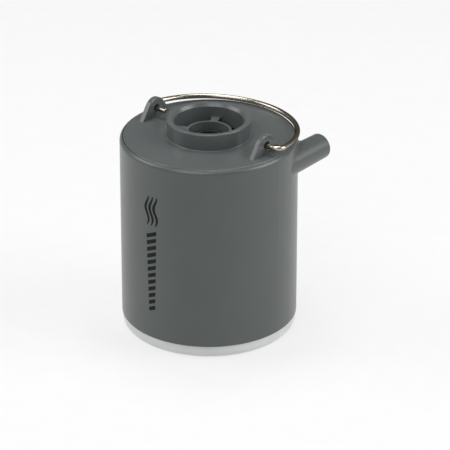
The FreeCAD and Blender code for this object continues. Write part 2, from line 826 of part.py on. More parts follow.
def build_housing():
    """Build the round housing with its outlet nozzle, ledge, lugs and bosses."""
    body = new_body("housing")
    outer = new_sketch(body, "housing_circle", "XY_Plane", d("lens_height"))
    add_circles(outer, [(0, 0, d("housing_radius"))])
    pad(body, "housing_round", outer, COVER_TOP - d("lens_height"))
    round_edges(body, "rim_round", d("rim_round"), circle_at(d("housing_radius"), COVER_TOP))
    add_nozzle(body)
    low = d("lens_height") - OVERRUN
    ledge = INNER_WALL - d("ledge_width")
    cavity = new_sketch(body, "cavity_section", "XZ_Plane")
    add_polygon(cavity, [
        (0, low),
        (INNER_WALL, low),
        (INNER_WALL, SCROLL_UNDER - d("ledge_height")),
        (ledge, SCROLL_UNDER - d("ledge_height")),
        (ledge, SCROLL_UNDER),
        (INNER_WALL, SCROLL_UNDER),
        (INNER_WALL, COVER_UNDER),
        (SEAT_RADIUS, COVER_UNDER),
        (SEAT_RADIUS, COVER_TOP + OVERRUN),
        (0, COVER_TOP + OVERRUN),
    ])
    turned(body, "cavity", cavity, cut=True)
    cut_nozzle_bore(body)
    add_screw_lugs(body)
    add_chassis_bosses(body)
    add_rear_controls(body)
    return body


def build_lens():
    """Build the frosted cup that closes the bottom and spreads the lamp's light."""
    outer = d("housing_radius") - d("lens_setback")
    section = [
        (0, 0),
        (outer, 0),
        (outer, d("lens_height")),
        (SPIGOT_RADIUS, d("lens_height")),
        (SPIGOT_RADIUS, SPIGOT_TOP),
        (LENS_INNER, SPIGOT_TOP),
        (LENS_INNER, d("lens_wall")),
        (0, d("lens_wall")),
    ]
    body = turned_body("lens", section, [seal_groove(SPIGOT_RADIUS, LENS_SEAL_LEVEL)])
    round_edges(body, "lens_round", d("lens_round"), circle_at(outer, 0))
    return body


def seal_groove(radius, level):
    """Return the section of a square groove for a seal ring, cut in from a radius."""
    half = d("seal_section") + d("seal_slack")
    inner = radius - half * 2 + d("fit_gap")
    return ring_points(inner, radius + OVERRUN, level - half, level + half)


def build_seal(name, wall, level):
    """Build a rubber seal ring that touches the wall outside it."""
    body = new_body(name)
    section = new_sketch(body, f"{name}_section", "XZ_Plane")
    radius = d("seal_section")
    add_circles(section, [(wall - radius, level, radius)])
    turned(body, f"{name}_turned", section)
    return body


# ---------------------------------------------------------------- top cover
def add_lugs(body):
    """Add the two ears that the wire handle hinges in."""
    head = d("lug_head_radius")
    half = d("lug_base_half_width")
    rise = d("hinge_height") - d("lug_head_drop")
    # a tangent from the foot (half, 0) to a circle of radius head at (0, rise)
    reach = root(half * half + rise * rise - head * head)
    span = half * half + rise * rise
    touch_y = half - (half * reach * reach - rise * reach * head) / span
    touch_z = (rise * reach * reach + half * reach * head) / span
    outline = new_sketch(body, "lug_outline", "YZ_Plane", LUG_INNER_FACE)
    low = COVER_TOP - d("cover_thickness") / 2
    foot = COVER_TOP
    touch_high = COVER_TOP + touch_z
    points = [(-touch_y, touch_high), (-half, foot), (-half, low), (half, low), (half, foot)]
    points.append((touch_y, touch_high))
    for number in range(len(points) - 1):
        ends = [vector(*points[number]), vector(*points[number + 1])]
        outline.addGeometry(Part.LineSegment(*ends), False)
    middle = COVER_TOP + rise
    lift = math.degrees(math.atan2(touch_high.value - middle.value, touch_y.value))
    top = arc(vector(0, middle), head.value, lift, 180 - lift)
    crown = outline.addGeometry(top, False)
    for number, (y, z) in enumerate(points[:-1]):
        fix_point(outline, number, 1, y, z)
    fix_point(outline, crown, 3, 0, middle)
    for number in range(1, len(points) - 1):
        constrain(outline, "Coincident", number - 1, 2, number, 1)
    constrain(outline, "Coincident", crown - 1, 2, crown, 1)
    constrain(outline, "Coincident", crown, 2, 0, 1)
    constrain(outline, "Horizontal", crown, 1, crown, 2)
    add_circles(outline, [(0, HINGE_LEVEL, d("lug_hole_radius"))])
    right = pad(body, "lug_right", outline, d("lug_thickness"))
    mirror = body.newObject("PartDesign::Mirrored", "lug_left")
    mirror.Originals = [right]
    plane = [item for item in body.Origin.OriginFeatures if item.Role == "YZ_Plane"][0]
    mirror.MirrorPlane = (plane, [""])
    body.Tip = mirror
    round_edges(body, "lug_edges", d("lug_edge_round"), on_lug_outline)


def on_lug_outline(edge):
    """Pick the rounded and sloping edges of both ears, above the cover."""
    faces = (LUG_INNER_FACE, LUG_INNER_FACE + d("lug_thickness"))
    points = edge.discretize(5)
    on_face = any(all(near(abs(point.x), face) for point in points) for face in faces)
    above = all(point.z > COVER_TOP.value - 0.01 for point in points)
    level = points[2].z > COVER_TOP.value + 0.1
    hole = isinstance(edge.Curve, Part.Circle) and near(edge.Curve.Radius, d("lug_hole_radius"))
    return on_face and above and level and not hole


def cut_guard(body):
    """Open the intake: a round hole inside the guard ring and four windows round it."""
    above = COVER_TOP + d("guard_height") + OVERRUN
    deep = d("cover_thickness") + d("guard_height") + OVERRUN * 2
    outer = d("guard_outer_radius")
    middle = new_sketch(body, "guard_middle", "XY_Plane", above)
    add_circles(middle, [(0, 0, outer - d("guard_wall"))])
    pocket(body, "guard_hole", middle, deep)
    half_gap = d("spoke_gap_angle") / 2
    window = new_sketch(body, "window_sketch", "XY_Plane", above)
    start = d("spoke_angle") - 90 + half_gap
    add_sector(window, (0, 0), outer, d("intake_radius"), start, d("spoke_angle") - half_gap)
    first = pocket(body, "window", window, deep)
    polar(body, "windows", [first], 4)
    for radius in (outer, d("intake_radius")):
        round_edges(body, f"spoke_round_{radius.value:.0f}", d("spoke_round"), upright_at(radius))


def add_cover_bosses(body):
    """Add the posts under the cover that its screws bite into."""
    length = d("cover_boss_length")
    low = COVER_UNDER - length
    posts = [(x, y, d("cover_boss_radius")) for x, y in COVER_SCREW_PLACES]
    disc_pads(body, "cover_bosses", "XY_Plane", low, posts, length)
    holes = new_sketch(body, "cover_boss_holes", "XY_Plane", low)
    add_circles(holes, [(x, y, CORE_RADIUS) for x, y in COVER_SCREW_PLACES])
    pocket(body, "cover_boss_bores", holes, length, along_normal=True)


def build_top_cover():
    """Build the cover with its intake collar, guard and the handle's two ears."""
    rim = COVER_TOP + d("collar_height")
    guard = COVER_TOP + d("guard_height")
    edge = SEAT_RADIUS - d("cover_gap")
    collar = COLLAR_RADIUS
    bore = d("intake_radius")
    section = [
        (0, COVER_UNDER),
        (edge, COVER_UNDER),
        (edge, COVER_TOP),
        (collar, COVER_TOP),
        (collar, guard),
        (0, guard),
    ]
    body = turned_body("top_cover", section, [seal_groove(edge, COVER_SEAL_LEVEL)])
    cut_guard(body)
    collar_section = new_sketch(body, "collar_section", "XZ_Plane")
    add_polygon(collar_section, [
        (bore, guard),
        (collar, guard),
        (collar, rim),
        (bore + d("collar_lead_in"), rim),
        (bore, rim - d("collar_lead_in_depth")),
    ])
    turned(body, "collar", collar_section)
    round_edges(body, "collar_edge", d("collar_edge_round"), circle_at(collar, rim))
    round_edges(body, "collar_base", d("collar_base_round"), circle_at(collar, COVER_TOP))
    round_edges(body, "cover_edge", d("cover_edge_round"), circle_at(edge, COVER_TOP))
    add_cover_bosses(body)
    add_lugs(body)
    return body


# ---------------------------------------------------------------- wire handle
def build_bail():
    """Build the wire handle flat, with its hinge line on X, and lay it down at rest."""
    body = new_body("bail_handle")
    bend = d("bail_bend_radius")
    big = BAIL_RADIUS
    shift = d("bail_shift")
    half = root((big - bend) * (big - bend) - bend * bend)
    path = new_sketch(body, "bail_path", "XY_Plane")
    left_x = shift - half
    right_x = shift + half
    angle = math.degrees(math.atan2(bend.value, half.value))
    path.addGeometry(Part.LineSegment(vector(BAIL_LEFT_END, 0), vector(left_x, 0)), False)
    path.addGeometry(arc(vector(left_x, bend), bend.value, 180 - angle, 270), False)
    path.addGeometry(arc(vector(shift, 0), big.value, angle, 180 - angle), False)
    path.addGeometry(arc(vector(right_x, bend), bend.value, -90, angle), False)
    path.addGeometry(Part.LineSegment(vector(right_x, 0), vector(BAIL_RIGHT_END, 0)), False)
    fix_point(path, 0, 1, BAIL_LEFT_END, 0)
    fix_point(path, 2, 3, shift, 0)
    fix_point(path, 4, 2, BAIL_RIGHT_END, 0)
    constrain(path, "Horizontal", 0)
    constrain(path, "Horizontal", 4)
    for joint in ((0, 2, 1, 2), (1, 1, 2, 2), (2, 1, 3, 2), (3, 1, 4, 1)):
        constrain(path, "Tangent", *joint)
    constrain(path, "Radius", 1, bend)
    constrain(path, "Radius", 2, big)
    constrain(path, "Radius", 3, bend)
    ring = new_sketch(body, "bail_section", "YZ_Plane", BAIL_LEFT_END)
    add_circles(ring, [(0, 0, d("wire_radius"))])
    wire = body.newObject("PartDesign::AdditivePipe", "bail_wire")
    wire.Profile = ring
    wire.Spine = (path, [f"Edge{number}" for number in range(1, 6)])
    round_edges(body, "wire_ends", d("wire_end_round"), at_wire_end)
    drop = d("hinge_height") - d("wire_radius") - d("bail_rest_gap")
    place(body, 0, 0, HINGE_LEVEL, axis=(1, 0, 0), angle=-arcsine(drop / big))
    return body


def at_wire_end(edge):
    """Pick the round edges at the two ends of the handle's wire."""
    curve = edge.Curve
    if not isinstance(curve, Part.Circle) or not near(curve.Radius, d("wire_radius")):
        return False
    return near(curve.Center.x, BAIL_LEFT_END) or near(curve.Center.x, BAIL_RIGHT_END)


# ---------------------------------------------------------------- blower
def add_scroll_outline(sketch):
    """Draw the air channel: four quarter arcs that step outwards, then the straight outlet."""
    half = d("scroll_step") / 2
    first = SCROLL_FIRST_RADIUS
    quarters = [(-half, half), (-half, -half), (half, -half), (half, half)]
    for number, centre in enumerate(quarters):
        radius = first + d("scroll_step") * number
        start = d("tongue_angle").value if number == 0 else number * 90
        sketch.addGeometry(arc(vector(*centre), radius.value, start, (number + 1) * 90), False)
        fix_point(sketch, number, 3, *centre)
        if number:
            constrain(sketch, "Coincident", number - 1, 2, number, 1)
        constrain(sketch, "Horizontal" if number % 2 else "Vertical", number, 2, number, 3)
    tip_x = first * cosine(d("tongue_angle")) - half
    tip_y = first * sine(d("tongue_angle")) + half
    constrain(sketch, "Radius", 0, first)
    constrain(sketch, "DistanceY", -1, 1, 0, 1, tip_y)
    far = d("nozzle_tip")
    corners = [
        (OUTLET_OUTER, half), (OUTLET_OUTER, far), (OUTLET_INNER, far), (OUTLET_INNER, tip_y),
    ]
    for number in range(3):
        line = Part.LineSegment(vector(*corners[number]), vector(*corners[number + 1]))
        sketch.addGeometry(line, False)
        constrain(sketch, "Coincident", 3 + number, 2, 4 + number, 1)
    fix_point(sketch, 4, 2, *corners[1])
    fix_point(sketch, 5, 2, *corners[2])
    nose_x = (tip_x + OUTLET_INNER) / 2
    nose_radius = (OUTLET_INNER - tip_x) / 2
    nose = sketch.addGeometry(arc(vector(nose_x, tip_y), nose_radius.value, 180, 360), False)
    constrain(sketch, "DistanceX", -1, 1, nose, 2, OUTLET_INNER)
    constrain(sketch, "Coincident", 6, 2, nose, 2)
    constrain(sketch, "Coincident", nose, 1, 0, 1)
    constrain(sketch, "Horizontal", nose, 1, nose, 3)
    constrain(sketch, "Horizontal", nose, 2, nose, 3)


def build_fan_scroll():
    """Build the moulded tray that carries the motor and gathers the impeller's air."""
    body = new_body("fan_scroll")
    disc = new_sketch(body, "scroll_disc", "XY_Plane", SCROLL_UNDER)
    add_circles(disc, [(0, 0, SCROLL_RADIUS)])
    pad(body, "scroll_block", disc, SCROLL_TOP - SCROLL_UNDER)
    channel = new_sketch(body, "scroll_outline", "XY_Plane", SCROLL_FLOOR_TOP)
    add_scroll_outline(channel)
    deep = SCROLL_TOP - SCROLL_FLOOR_TOP
    pocket(body, "scroll_channel", channel, deep + OVERRUN, along_normal=True)
    wall = SCROLL_FIRST_RADIUS + d("scroll_step") + d("scroll_wall")
    half = -d("scroll_step") / 2
    rim = SCROLL_RADIUS - d("scroll_wall") + half
    for name, start, end in HOLLOWS:
        hollow = new_sketch(body, f"hollow_{name}_sketch", "XY_Plane", SCROLL_FLOOR_TOP)
        add_sector(hollow, (half, half), wall, rim, as_size(start), as_size(end))
        pocket(body, f"hollow_{name}", hollow, deep + OVERRUN, along_normal=True)
    wells = new_sketch(body, "boss_wells_sketch", "XY_Plane", SCROLL_TOP)
    add_circles(wells, [(x, y, BOSS_WELL_RADIUS) for x, y in COVER_SCREW_PLACES])
    pocket(body, "boss_wells", wells, d("cover_boss_length") + d("side_gap"))
    holes = new_sketch(body, "scroll_holes_sketch", "XY_Plane", SCROLL_TOP)
    centre_hole = (0, 0, d("motor_boss_radius") + d("side_gap"))
    screw_places = COVER_SCREW_PLACES + MOTOR_SCREW_PLACES
    add_circles(holes, [(x, y, LOOSE_RADIUS) for x, y in screw_places] + [centre_hole])
    pocket(body, "scroll_holes", holes, SCROLL_TOP - SCROLL_UNDER + OVERRUN)
    sinks = new_sketch(body, "screw_sinks_sketch", "XY_Plane", SCROLL_FLOOR_TOP)
    sink_radius = d("screw_head_radius") + d("side_gap")
    add_circles(sinks, [(x, y, sink_radius) for x, y in MOTOR_SCREW_PLACES])
    pocket(body, "screw_sinks", sinks, d("motor_screw_sink"))
    return body


def build_impeller():
    """Build the closed impeller: hub, back plate, swept blades and front ring."""
    bore = d("shaft_radius")
    hub = d("impeller_hub_radius")
    recess = d("impeller_hub_recess")
    section = [
        (bore, IMPELLER_LOW),
        (IMPELLER_RADIUS, IMPELLER_LOW),
        (IMPELLER_RADIUS, BLADE_LOW),
        (hub, BLADE_LOW),
        (hub, HUB_TOP),
        (recess, HUB_TOP),
        (recess, HUB_RECESS_FLOOR),
        (bore, HUB_RECESS_FLOOR),
    ]
    body = turned_body("impeller", section)
    blade = new_sketch(body, "blade_sketch", "XY_Plane", BLADE_LOW)
    centre = (-d("blade_arc_side"), -d("blade_arc_back"))
    half = d("blade_thickness") / 2
    middle = d("blade_arc_radius")
    add_sector(blade, centre, middle - half, middle + half, d("blade_arc_start"), d("blade_arc_end"))
    first = pad(body, "blade", blade, d("impeller_blade_height"))
    polar(body, "blades", [first], int(d("blade_count").value))
    eye = d("intake_radius") - d("impeller_eye_lap")
    lip = eye + d("impeller_eye_wall")
    shroud = new_sketch(body, "shroud_section", "XZ_Plane")
    shroud_top = SHROUD_LOW + d("impeller_plate")
    eye_top = COVER_TOP - d("impeller_eye_below_cover")
    add_polygon(shroud, [
        (eye, SHROUD_LOW),
        (IMPELLER_RADIUS, SHROUD_LOW),
        (IMPELLER_RADIUS, shroud_top),
        (lip, shroud_top),
        (lip, eye_top),
        (eye, eye_top),
    ])
    turned(body, "shroud", shroud)
    return body


# ---------------------------------------------------------------- motor
def build_motor_shell():
    """Build the steel can, its plastic end cap and the rubber pad on its face."""
    outer = d("motor_radius")
    boss = d("motor_boss_radius")
    sleeve = d("bearing_radius")
    boss_top = MOTOR_TOP + d("motor_boss_height")
    inner_top = MOTOR_TOP - d("motor_can_wall")
    can = turned_body("motor_can", [
        (CAN_INNER, MOTOR_SEAM),
        (outer, MOTOR_SEAM),
        (outer, MOTOR_TOP),
        (boss, MOTOR_TOP),
        (boss, boss_top),
        (sleeve, boss_top),
        (sleeve, inner_top),
        (CAN_INNER, inner_top),
    ])
    holes = new_sketch(can, "motor_screw_holes", "XY_Plane", MOTOR_TOP + OVERRUN)
    add_circles(holes, [(x, y, d("screw_radius")) for x, y in MOTOR_SCREW_PLACES])
    pocket(can, "motor_screw_bores", holes, d("motor_can_wall") + OVERRUN * 2)
    wall = d("motor_cap_wall")
    turned_body("motor_end_cap", [
        (sleeve, MOTOR_BOTTOM),
        (outer, MOTOR_BOTTOM),
        (outer, MOTOR_SEAM),
        (outer - wall, MOTOR_SEAM),
        (outer - wall, MOTOR_BOTTOM + wall),
        (sleeve, MOTOR_BOTTOM + wall),
    ])
    pad_body = new_body("motor_pad")
    ring = new_sketch(pad_body, "motor_pad_rings", "XY_Plane", MOTOR_TOP)
    screw_hole = d("screw_radius") + d("side_gap")
    add_circles(ring, [(0, 0, outer), (0, 0, boss + d("side_gap"))])
    add_circles(ring, [(x, y, screw_hole) for x, y in MOTOR_SCREW_PLACES])
    pad(pad_body, "motor_pad_sheet", ring, d("motor_pad_thickness"))


def build_motor_bearings():
    """Build the two sleeve bearings that the shaft turns in, as one group."""
    bore = d("shaft_radius") + d("shaft_gap")
    outer = d("bearing_radius")
    top_low = MOTOR_TOP + d("motor_boss_height") - d("bearing_length")
    body = new_body("motor_bearings")
    for name, low in (("lower", MOTOR_BOTTOM), ("upper", top_low)):
        rings = new_sketch(body, f"{name}_bearing_rings", "XY_Plane", low)
        add_circles(rings, [(0, 0, outer), (0, 0, bore)])
        pad(body, f"{name}_bearing", rings, d("bearing_length"))


def build_motor_magnets():
    """Build the two curved magnets inside the can."""
    body = new_body("motor_magnets")
    half = d("magnet_angle") / 2
    over = d("magnet_overhang")
    sketch = new_sketch(body, "magnet_sketch", "XY_Plane", ARMATURE_LOW - over)
    add_sector(sketch, (0, 0), MAGNET_INNER, CAN_INNER, 90 - half, 90 + half)
    first = pad(body, "magnet", sketch, d("armature_length") + over * 2)
    polar(body, "magnets", [first], 2)


def build_motor_shaft():
    """Build the steel shaft that the rotor and the impeller sit on."""
    body = new_body("motor_shaft")
    disc_pads(body, "shaft", "XY_Plane", SHAFT_BOTTOM, [(0, 0, d("shaft_radius"))],
              SHAFT_TOP - SHAFT_BOTTOM)


def build_motor_rotor():
    """Build the three-pole core, its windings and the commutator, all on the shaft."""
    bore = d("shaft_radius")
    hub = d("armature_hub_radius")
    shoe_inner = d("armature_radius") - d("pole_shoe")
    half_neck = d("pole_neck") / 2
    core = new_body("armature_core")
    rings = new_sketch(core, "core_hub_rings", "XY_Plane", ARMATURE_LOW)
    add_circles(rings, [(0, 0, hub), (0, 0, bore)])
    pad(core, "core_hub", rings, d("armature_length"))
    neck = new_sketch(core, "neck_sketch", "XY_Plane", ARMATURE_LOW)
    sunk = d("pole_shoe") / 3
    add_rectangles(neck, [(hub - sunk, -half_neck, shoe_inner + sunk, half_neck)])
    neck_pad = pad(core, "neck", neck, d("armature_length"))
    shoe = new_sketch(core, "shoe_sketch", "XY_Plane", ARMATURE_LOW)
    half_shoe = d("pole_shoe_angle") / 2
    add_sector(shoe, (0, 0), shoe_inner, d("armature_radius"), -half_shoe, half_shoe)
    shoe_pad = pad(core, "shoe", shoe, d("armature_length"))
    polar(core, "poles", [neck_pad, shoe_pad], 3)
    coils = new_body("armature_windings")
    over = d("winding_overhang")
    side = d("winding_half_width")
    block = new_sketch(coils, "coil_sketch", "XY_Plane", ARMATURE_LOW - over)
    outside = root(shoe_inner * shoe_inner - side * side) - d("winding_gap")
    add_rectangles(block, [(hub + d("winding_gap"), -side, outside, side)])
    block_pad = pad(coils, "coil", block, d("armature_length") + over * 2)
    gap = new_sketch(coils, "coil_gap_sketch", "YZ_Plane", hub)
    add_rectangles(gap, [(-half_neck, ARMATURE_LOW, half_neck, ARMATURE_HIGH)])
    gap_cut = pocket(coils, "coil_gap", gap, shoe_inner, along_normal=True)
    polar(coils, "coils", [block_pad, gap_cut], 3)
    low = MOTOR_BOTTOM + d("motor_cap_wall") + d("bearing_length") / 2
    turned_body("commutator", ring_points(bore, d("commutator_radius"), low,
                                          low + d("commutator_length")))
    brush_low = low + (d("commutator_length") - d("brush_height")) / 2
    brushes = new_body("motor_brushes")
    start = d("commutator_radius") + d("brush_gap")
    wide = d("brush_half_width")
    cap_inner = d("motor_radius") - d("motor_cap_wall")
    end = root(cap_inner * cap_inner - wide * wide)
    both = [(start, -wide, end, wide), (-end, -wide, -start, wide)]
    box_pads(brushes, "brush_blocks", "XY_Plane", brush_low, both, d("brush_height"))


def build_motor_terminals():
    """Build the two solder tabs under the motor's end cap."""
    body = new_body("motor_terminals")
    spread = d("terminal_spread")
    long = d("terminal_half_width")
    thin = d("terminal_half_thickness")
    tabs = [(sign * spread - long, -thin, sign * spread + long, thin) for sign in (-1, 1)]
    length = d("terminal_length")
    box_pads(body, "terminal_tabs", "XY_Plane", MOTOR_BOTTOM - length, tabs, length)


def build_fasteners():
    """Build the five groups of screws."""
    cover_low = SCROLL_UNDER - d("screw_lug_height")
    cover_length = SCROLL_TOP - cover_low - d("cover_screw_short")
    screws("cover_screws", COVER_SCREW_PLACES, cover_low, cover_length)
    chassis_places = on_circle(CHASSIS_SCREW_CIRCLE, THREE_WAYS)
    chassis_length = d("chassis_thickness") + d("chassis_screw_bite")
    screws("chassis_screws", chassis_places, d("chassis_level"), chassis_length)
    lamp_places = on_circle(d("lamp_screw_circle"), THREE_WAYS)
    lamp_length = d("lamp_board_thickness") + d("lamp_board_gap") + d("lamp_screw_bite")
    screws("lamp_board_screws", lamp_places, LAMP_BOARD_UNDER, lamp_length)
    motor_body = screws("motor_screws", MOTOR_SCREW_PLACES, as_size(0), MOTOR_SCREW_LENGTH)
    place(motor_body, 0, 0, MOTOR_SCREW_SEAT, axis=(1, 0, 0), angle=180)
    board_body = screws("board_screws", BOARD_SCREW_PLACES, as_size(0), d("rail_depth"))
    place(board_body, 0, BOARD_FRONT, 0, axis=(1, 0, 0), angle=90)


# ---------------------------------------------------------------- chassis and cells
def cell_places():
    """Return the two cells' centres, either side of the middle towards the front."""
    return [(sign * CELL_SIDE, -CELL_BACK) for sign in (-1, 1)]


def build_chassis():
    """Build the floor that carries the cells, the rails of the main board and the lamp."""
    body = new_body("chassis")
    floor = new_sketch(body, "floor_circle", "XY_Plane", d("chassis_level"))
    add_circles(floor, [(0, 0, SCROLL_RADIUS)])
    pad(body, "floor", floor, d("chassis_thickness"))
    cups = new_sketch(body, "cup_rings", "XY_Plane", CHASSIS_TOP)
    add_circles(cups, [(x, y, CUP_RADIUS) for x, y in cell_places()])
    add_circles(cups, [(x, y, CUP_RADIUS - d("cup_wall")) for x, y in cell_places()])
    pad(body, "cups", cups, d("cup_height"))
    side = d("rail_side")
    half = d("rail_half_width")
    back = BOARD_FACE - d("rail_depth")
    rails = [(sign * side - half, back, sign * side + half, BOARD_FACE) for sign in (-1, 1)]
    rail_height = BOARD_TOP - d("rail_short") - CHASSIS_TOP
    box_pads(body, "rails", "XY_Plane", CHASSIS_TOP, rails, rail_height)
    posts = on_circle(d("lamp_screw_circle"), THREE_WAYS)
    disc_pads(body, "lamp_posts", "XY_Plane", LAMP_BOARD_TOP,
              [(x, y, d("lamp_post_radius")) for x, y in posts], d("lamp_board_gap"))
    slot = new_sketch(body, "strap_slot_sketch", "XY_Plane", CHASSIS_TOP)
    add_rectangles(slot, [strap_outline(d("side_gap"))])
    pocket(body, "strap_slot", slot, d("strap_slot_height"), along_normal=True)
    holes = new_sketch(body, "chassis_holes_sketch", "XY_Plane", CHASSIS_TOP)
    loose = [(x, y, LOOSE_RADIUS) for x, y in on_circle(CHASSIS_SCREW_CIRCLE, THREE_WAYS)]
    add_circles(holes, loose + [(0, LAMP_LEAD_Y, d("lamp_lead_hole"))])
    pocket(body, "chassis_holes", holes, d("chassis_thickness") + OVERRUN)
    cores = new_sketch(body, "lamp_post_holes", "XY_Plane", LAMP_BOARD_TOP)
    add_circles(cores, [(x, y, CORE_RADIUS) for x, y in posts])
    deep = d("lamp_board_gap") + d("lamp_screw_bite") + d("bore_allowance")
    pocket(body, "lamp_post_bores", cores, deep, along_normal=True)
    rail_cores = rear_sketch(body, "rail_holes_sketch", back)
    add_circles(rail_cores, [(x, z, CORE_RADIUS) for x, z in BOARD_SCREW_PLACES])
    pocket(body, "rail_bores", rail_cores, d("rail_depth") + OVERRUN)
    return body


def strap_outline(gap):
    """Return the outline of a strap that runs from cell to cell, with a gap round it."""
    half = d("strap_half_width") + gap
    reach = CELL_SIDE + gap
    return (-reach, STRAP_Y - half, reach, STRAP_Y + half)


def build_cells():
    """Build the two round cells, the strips that join them and the foam over them."""
    nub = d("cell_nub_radius")
    radius = d("cell_radius")
    shoulder = d("cell_length") - d("cell_nub_height")
    round_points = [(0, 0), (radius, 0), (radius, shoulder), (nub, shoulder)]
    round_points += [(nub, d("cell_length")), (0, d("cell_length"))]
    for name, (x, y) in zip(("battery_cell_left", "battery_cell_right"), cell_places()):
        cell = turned_body(name, round_points)
        round_edges(cell, f"{name}_edge", d("cell_edge_round"), circle_at(radius, 0))
        place(cell, x, y, CELL_BOTTOM)
    straps = new_body("cell_straps")
    thin = d("strap_thickness")
    for name, low in (("bottom", CHASSIS_TOP), ("top", CELL_TOP)):
        box_pads(straps, f"{name}_strap", "XY_Plane", low, [strap_outline(as_size(0))], thin)
    pads = new_body("cell_pads")
    low = CELL_TOP + thin
    discs = [(x, y, d("cell_pad_radius")) for x, y in cell_places()]
    disc_pads(pads, "foam", "XY_Plane", low, discs, SCROLL_UNDER - low)


# ---------------------------------------------------------------- boards and lamp
def build_main_board():
    """Build the upright circuit board behind the rear controls, with what is soldered on."""
    board = new_body("main_board")
    half = d("board_half_width")
    outline = (-half, d("board_bottom"), half, BOARD_TOP)
    sheet = rear_sketch(board, "board_outline", BOARD_FACE)
    add_rectangles(sheet, [outline])
    pad(board, "board", sheet, d("board_thickness"), backwards=True)
    holes = rear_sketch(board, "board_holes_sketch", BOARD_FACE)
    add_circles(holes, [(x, z, LOOSE_RADIUS) for x, z in BOARD_SCREW_PLACES])
    pocket(board, "board_holes", holes, d("board_thickness") + OVERRUN)
    chips = new_body("board_chips")
    size = d("chip_half_width")
    side = d("chip_side")
    high = d("light_level") + d("chip_rise")
    places = [(-side, high), (side, high), (side, d("port_level"))]
    outlines = [(x - size, z - size, x + size, z + size) for x, z in places]
    sketch = rear_sketch(chips, "chip_outlines", BOARD_FRONT)
    add_rectangles(sketch, outlines)
    pad(chips, "chips", sketch, d("chip_thickness"), backwards=True)
    coil = new_body("charge_coil")
    coil_sketch = rear_sketch(coil, "coil_circle", BOARD_FRONT)
    add_circles(coil_sketch, [(-d("coil_side"), d("port_level"), d("coil_radius"))])
    pad(coil, "coil_drum", coil_sketch, d("coil_height"), backwards=True)
    lights = new_body("charge_lights")
    light = d("light_chip_half_width")
    level = d("light_level")
    marks = []
    for step in (-1, 0, 1):
        x = d("light_pitch") * step
        marks.append((x - light, level - light, x + light, level + light))
    light_sketch = rear_sketch(lights, "light_outlines", BOARD_FRONT)
    add_rectangles(light_sketch, marks)
    pad(lights, "light_chips", light_sketch, d("light_chip_thickness"), backwards=True)


def build_light_guide():
    """Build the clear guide that carries the three charge lights to the outside."""
    body = new_body("light_guide")
    level = d("light_level")
    pitch = d("light_pitch")
    half = d("light_bar_half_height")
    low = REAR_FLAT - d("light_bar_behind_flat")
    bar = rear_sketch(body, "guide_bar_outline", low)
    add_rectangles(bar, [(-pitch - half, level - half, pitch + half, level + half)])
    pad(body, "guide_bar", bar, d("light_bar_depth"), backwards=True)
    pins = rear_sketch(body, "guide_pin_circles", low)
    add_circles(pins, [(pitch * step, level, d("light_radius")) for step in (-1, 0, 1)])
    length = d("housing_radius") - d("light_setback") - low
    pad(body, "guide_pins", pins, length, backwards=True)


def build_charging_port():
    """Build the charging socket: a thin metal shell with a flat tongue inside."""
    level = d("port_level")
    wide = d("port_half_width")
    tall = d("port_half_height")
    wall = d("port_shell")
    shell = new_body("charging_socket")
    outline = rear_sketch(shell, "socket_outline", BOARD_FRONT)
    add_rectangles(outline, [(-wide, level - tall, wide, level + tall)])
    pad(shell, "socket_block", outline, PORT_LENGTH, backwards=True)
    floor = BOARD_FRONT + d("port_back_wall")
    inside = rear_sketch(shell, "socket_inside", floor)
    add_rectangles(inside, [(-wide + wall, level - tall + wall, wide - wall, level + tall - wall)])
    pocket(shell, "socket_mouth", inside, PORT_LENGTH)
    tongue = new_body("socket_tongue")
    flat = rear_sketch(tongue, "tongue_outline", floor)
    half = d("port_tongue_half_width")
    thin = d("port_tongue_half_height")
    add_rectangles(flat, [(-half, level - thin, half, level + thin)])
    length = PORT_LENGTH - d("port_back_wall") - d("port_tongue_short")
    pad(tongue, "tongue", flat, length, backwards=True)


def build_port_cover():
    """Build the rubber cover of the port and the strip that holds it to the wall."""
    cover = new_body("port_cover")
    side = d("flap_half_width")
    high = FLAP_LOW + d("flap_height")
    plate = rear_sketch(cover, "flap_outline", FLAP_BACK)
    add_rectangles(plate, [(-side, FLAP_LOW, side, high)])
    pad(cover, "flap", plate, d("flap_thickness"), backwards=True)
    tab = rear_sketch(cover, "flap_tab_outline", FLAP_BACK + d("flap_thickness") / 2)
    tab_side = d("flap_tab_half_width")
    add_rectangles(tab, [(-tab_side, high - OVERRUN, tab_side, high + d("flap_tab"))])
    pad(cover, "flap_tab", tab, d("flap_thickness") / 2, backwards=True)
    plug_wide = d("flap_plug_half_width")
    plug_tall = d("flap_plug_half_height")
    level = d("port_level")
    plug = rear_sketch(cover, "flap_plug_outline", FLAP_BACK)
    add_rectangles(plug, [(-plug_wide, level - plug_tall, plug_wide, level + plug_tall)])
    pad(cover, "flap_plug", plug, d("flap_plug_depth"))
    anchor = new_body("port_cover_anchor")
    strip = rear_sketch(anchor, "anchor_outline", REAR_FLAT)
    add_rectangles(strip, [(-side, ANCHOR_LOW, side, ANCHOR_HIGH)])
    pad(anchor, "anchor_strip", strip, d("flap_thickness"), backwards=True)
    stud = rear_sketch(anchor, "anchor_stud_circle", REAR_FLAT)
    add_circles(stud, [(0, (ANCHOR_LOW + ANCHOR_HIGH) / 2, d("anchor_stud_radius"))])
    pad(anchor, "anchor_stud", stud, d("anchor_stud_length"))


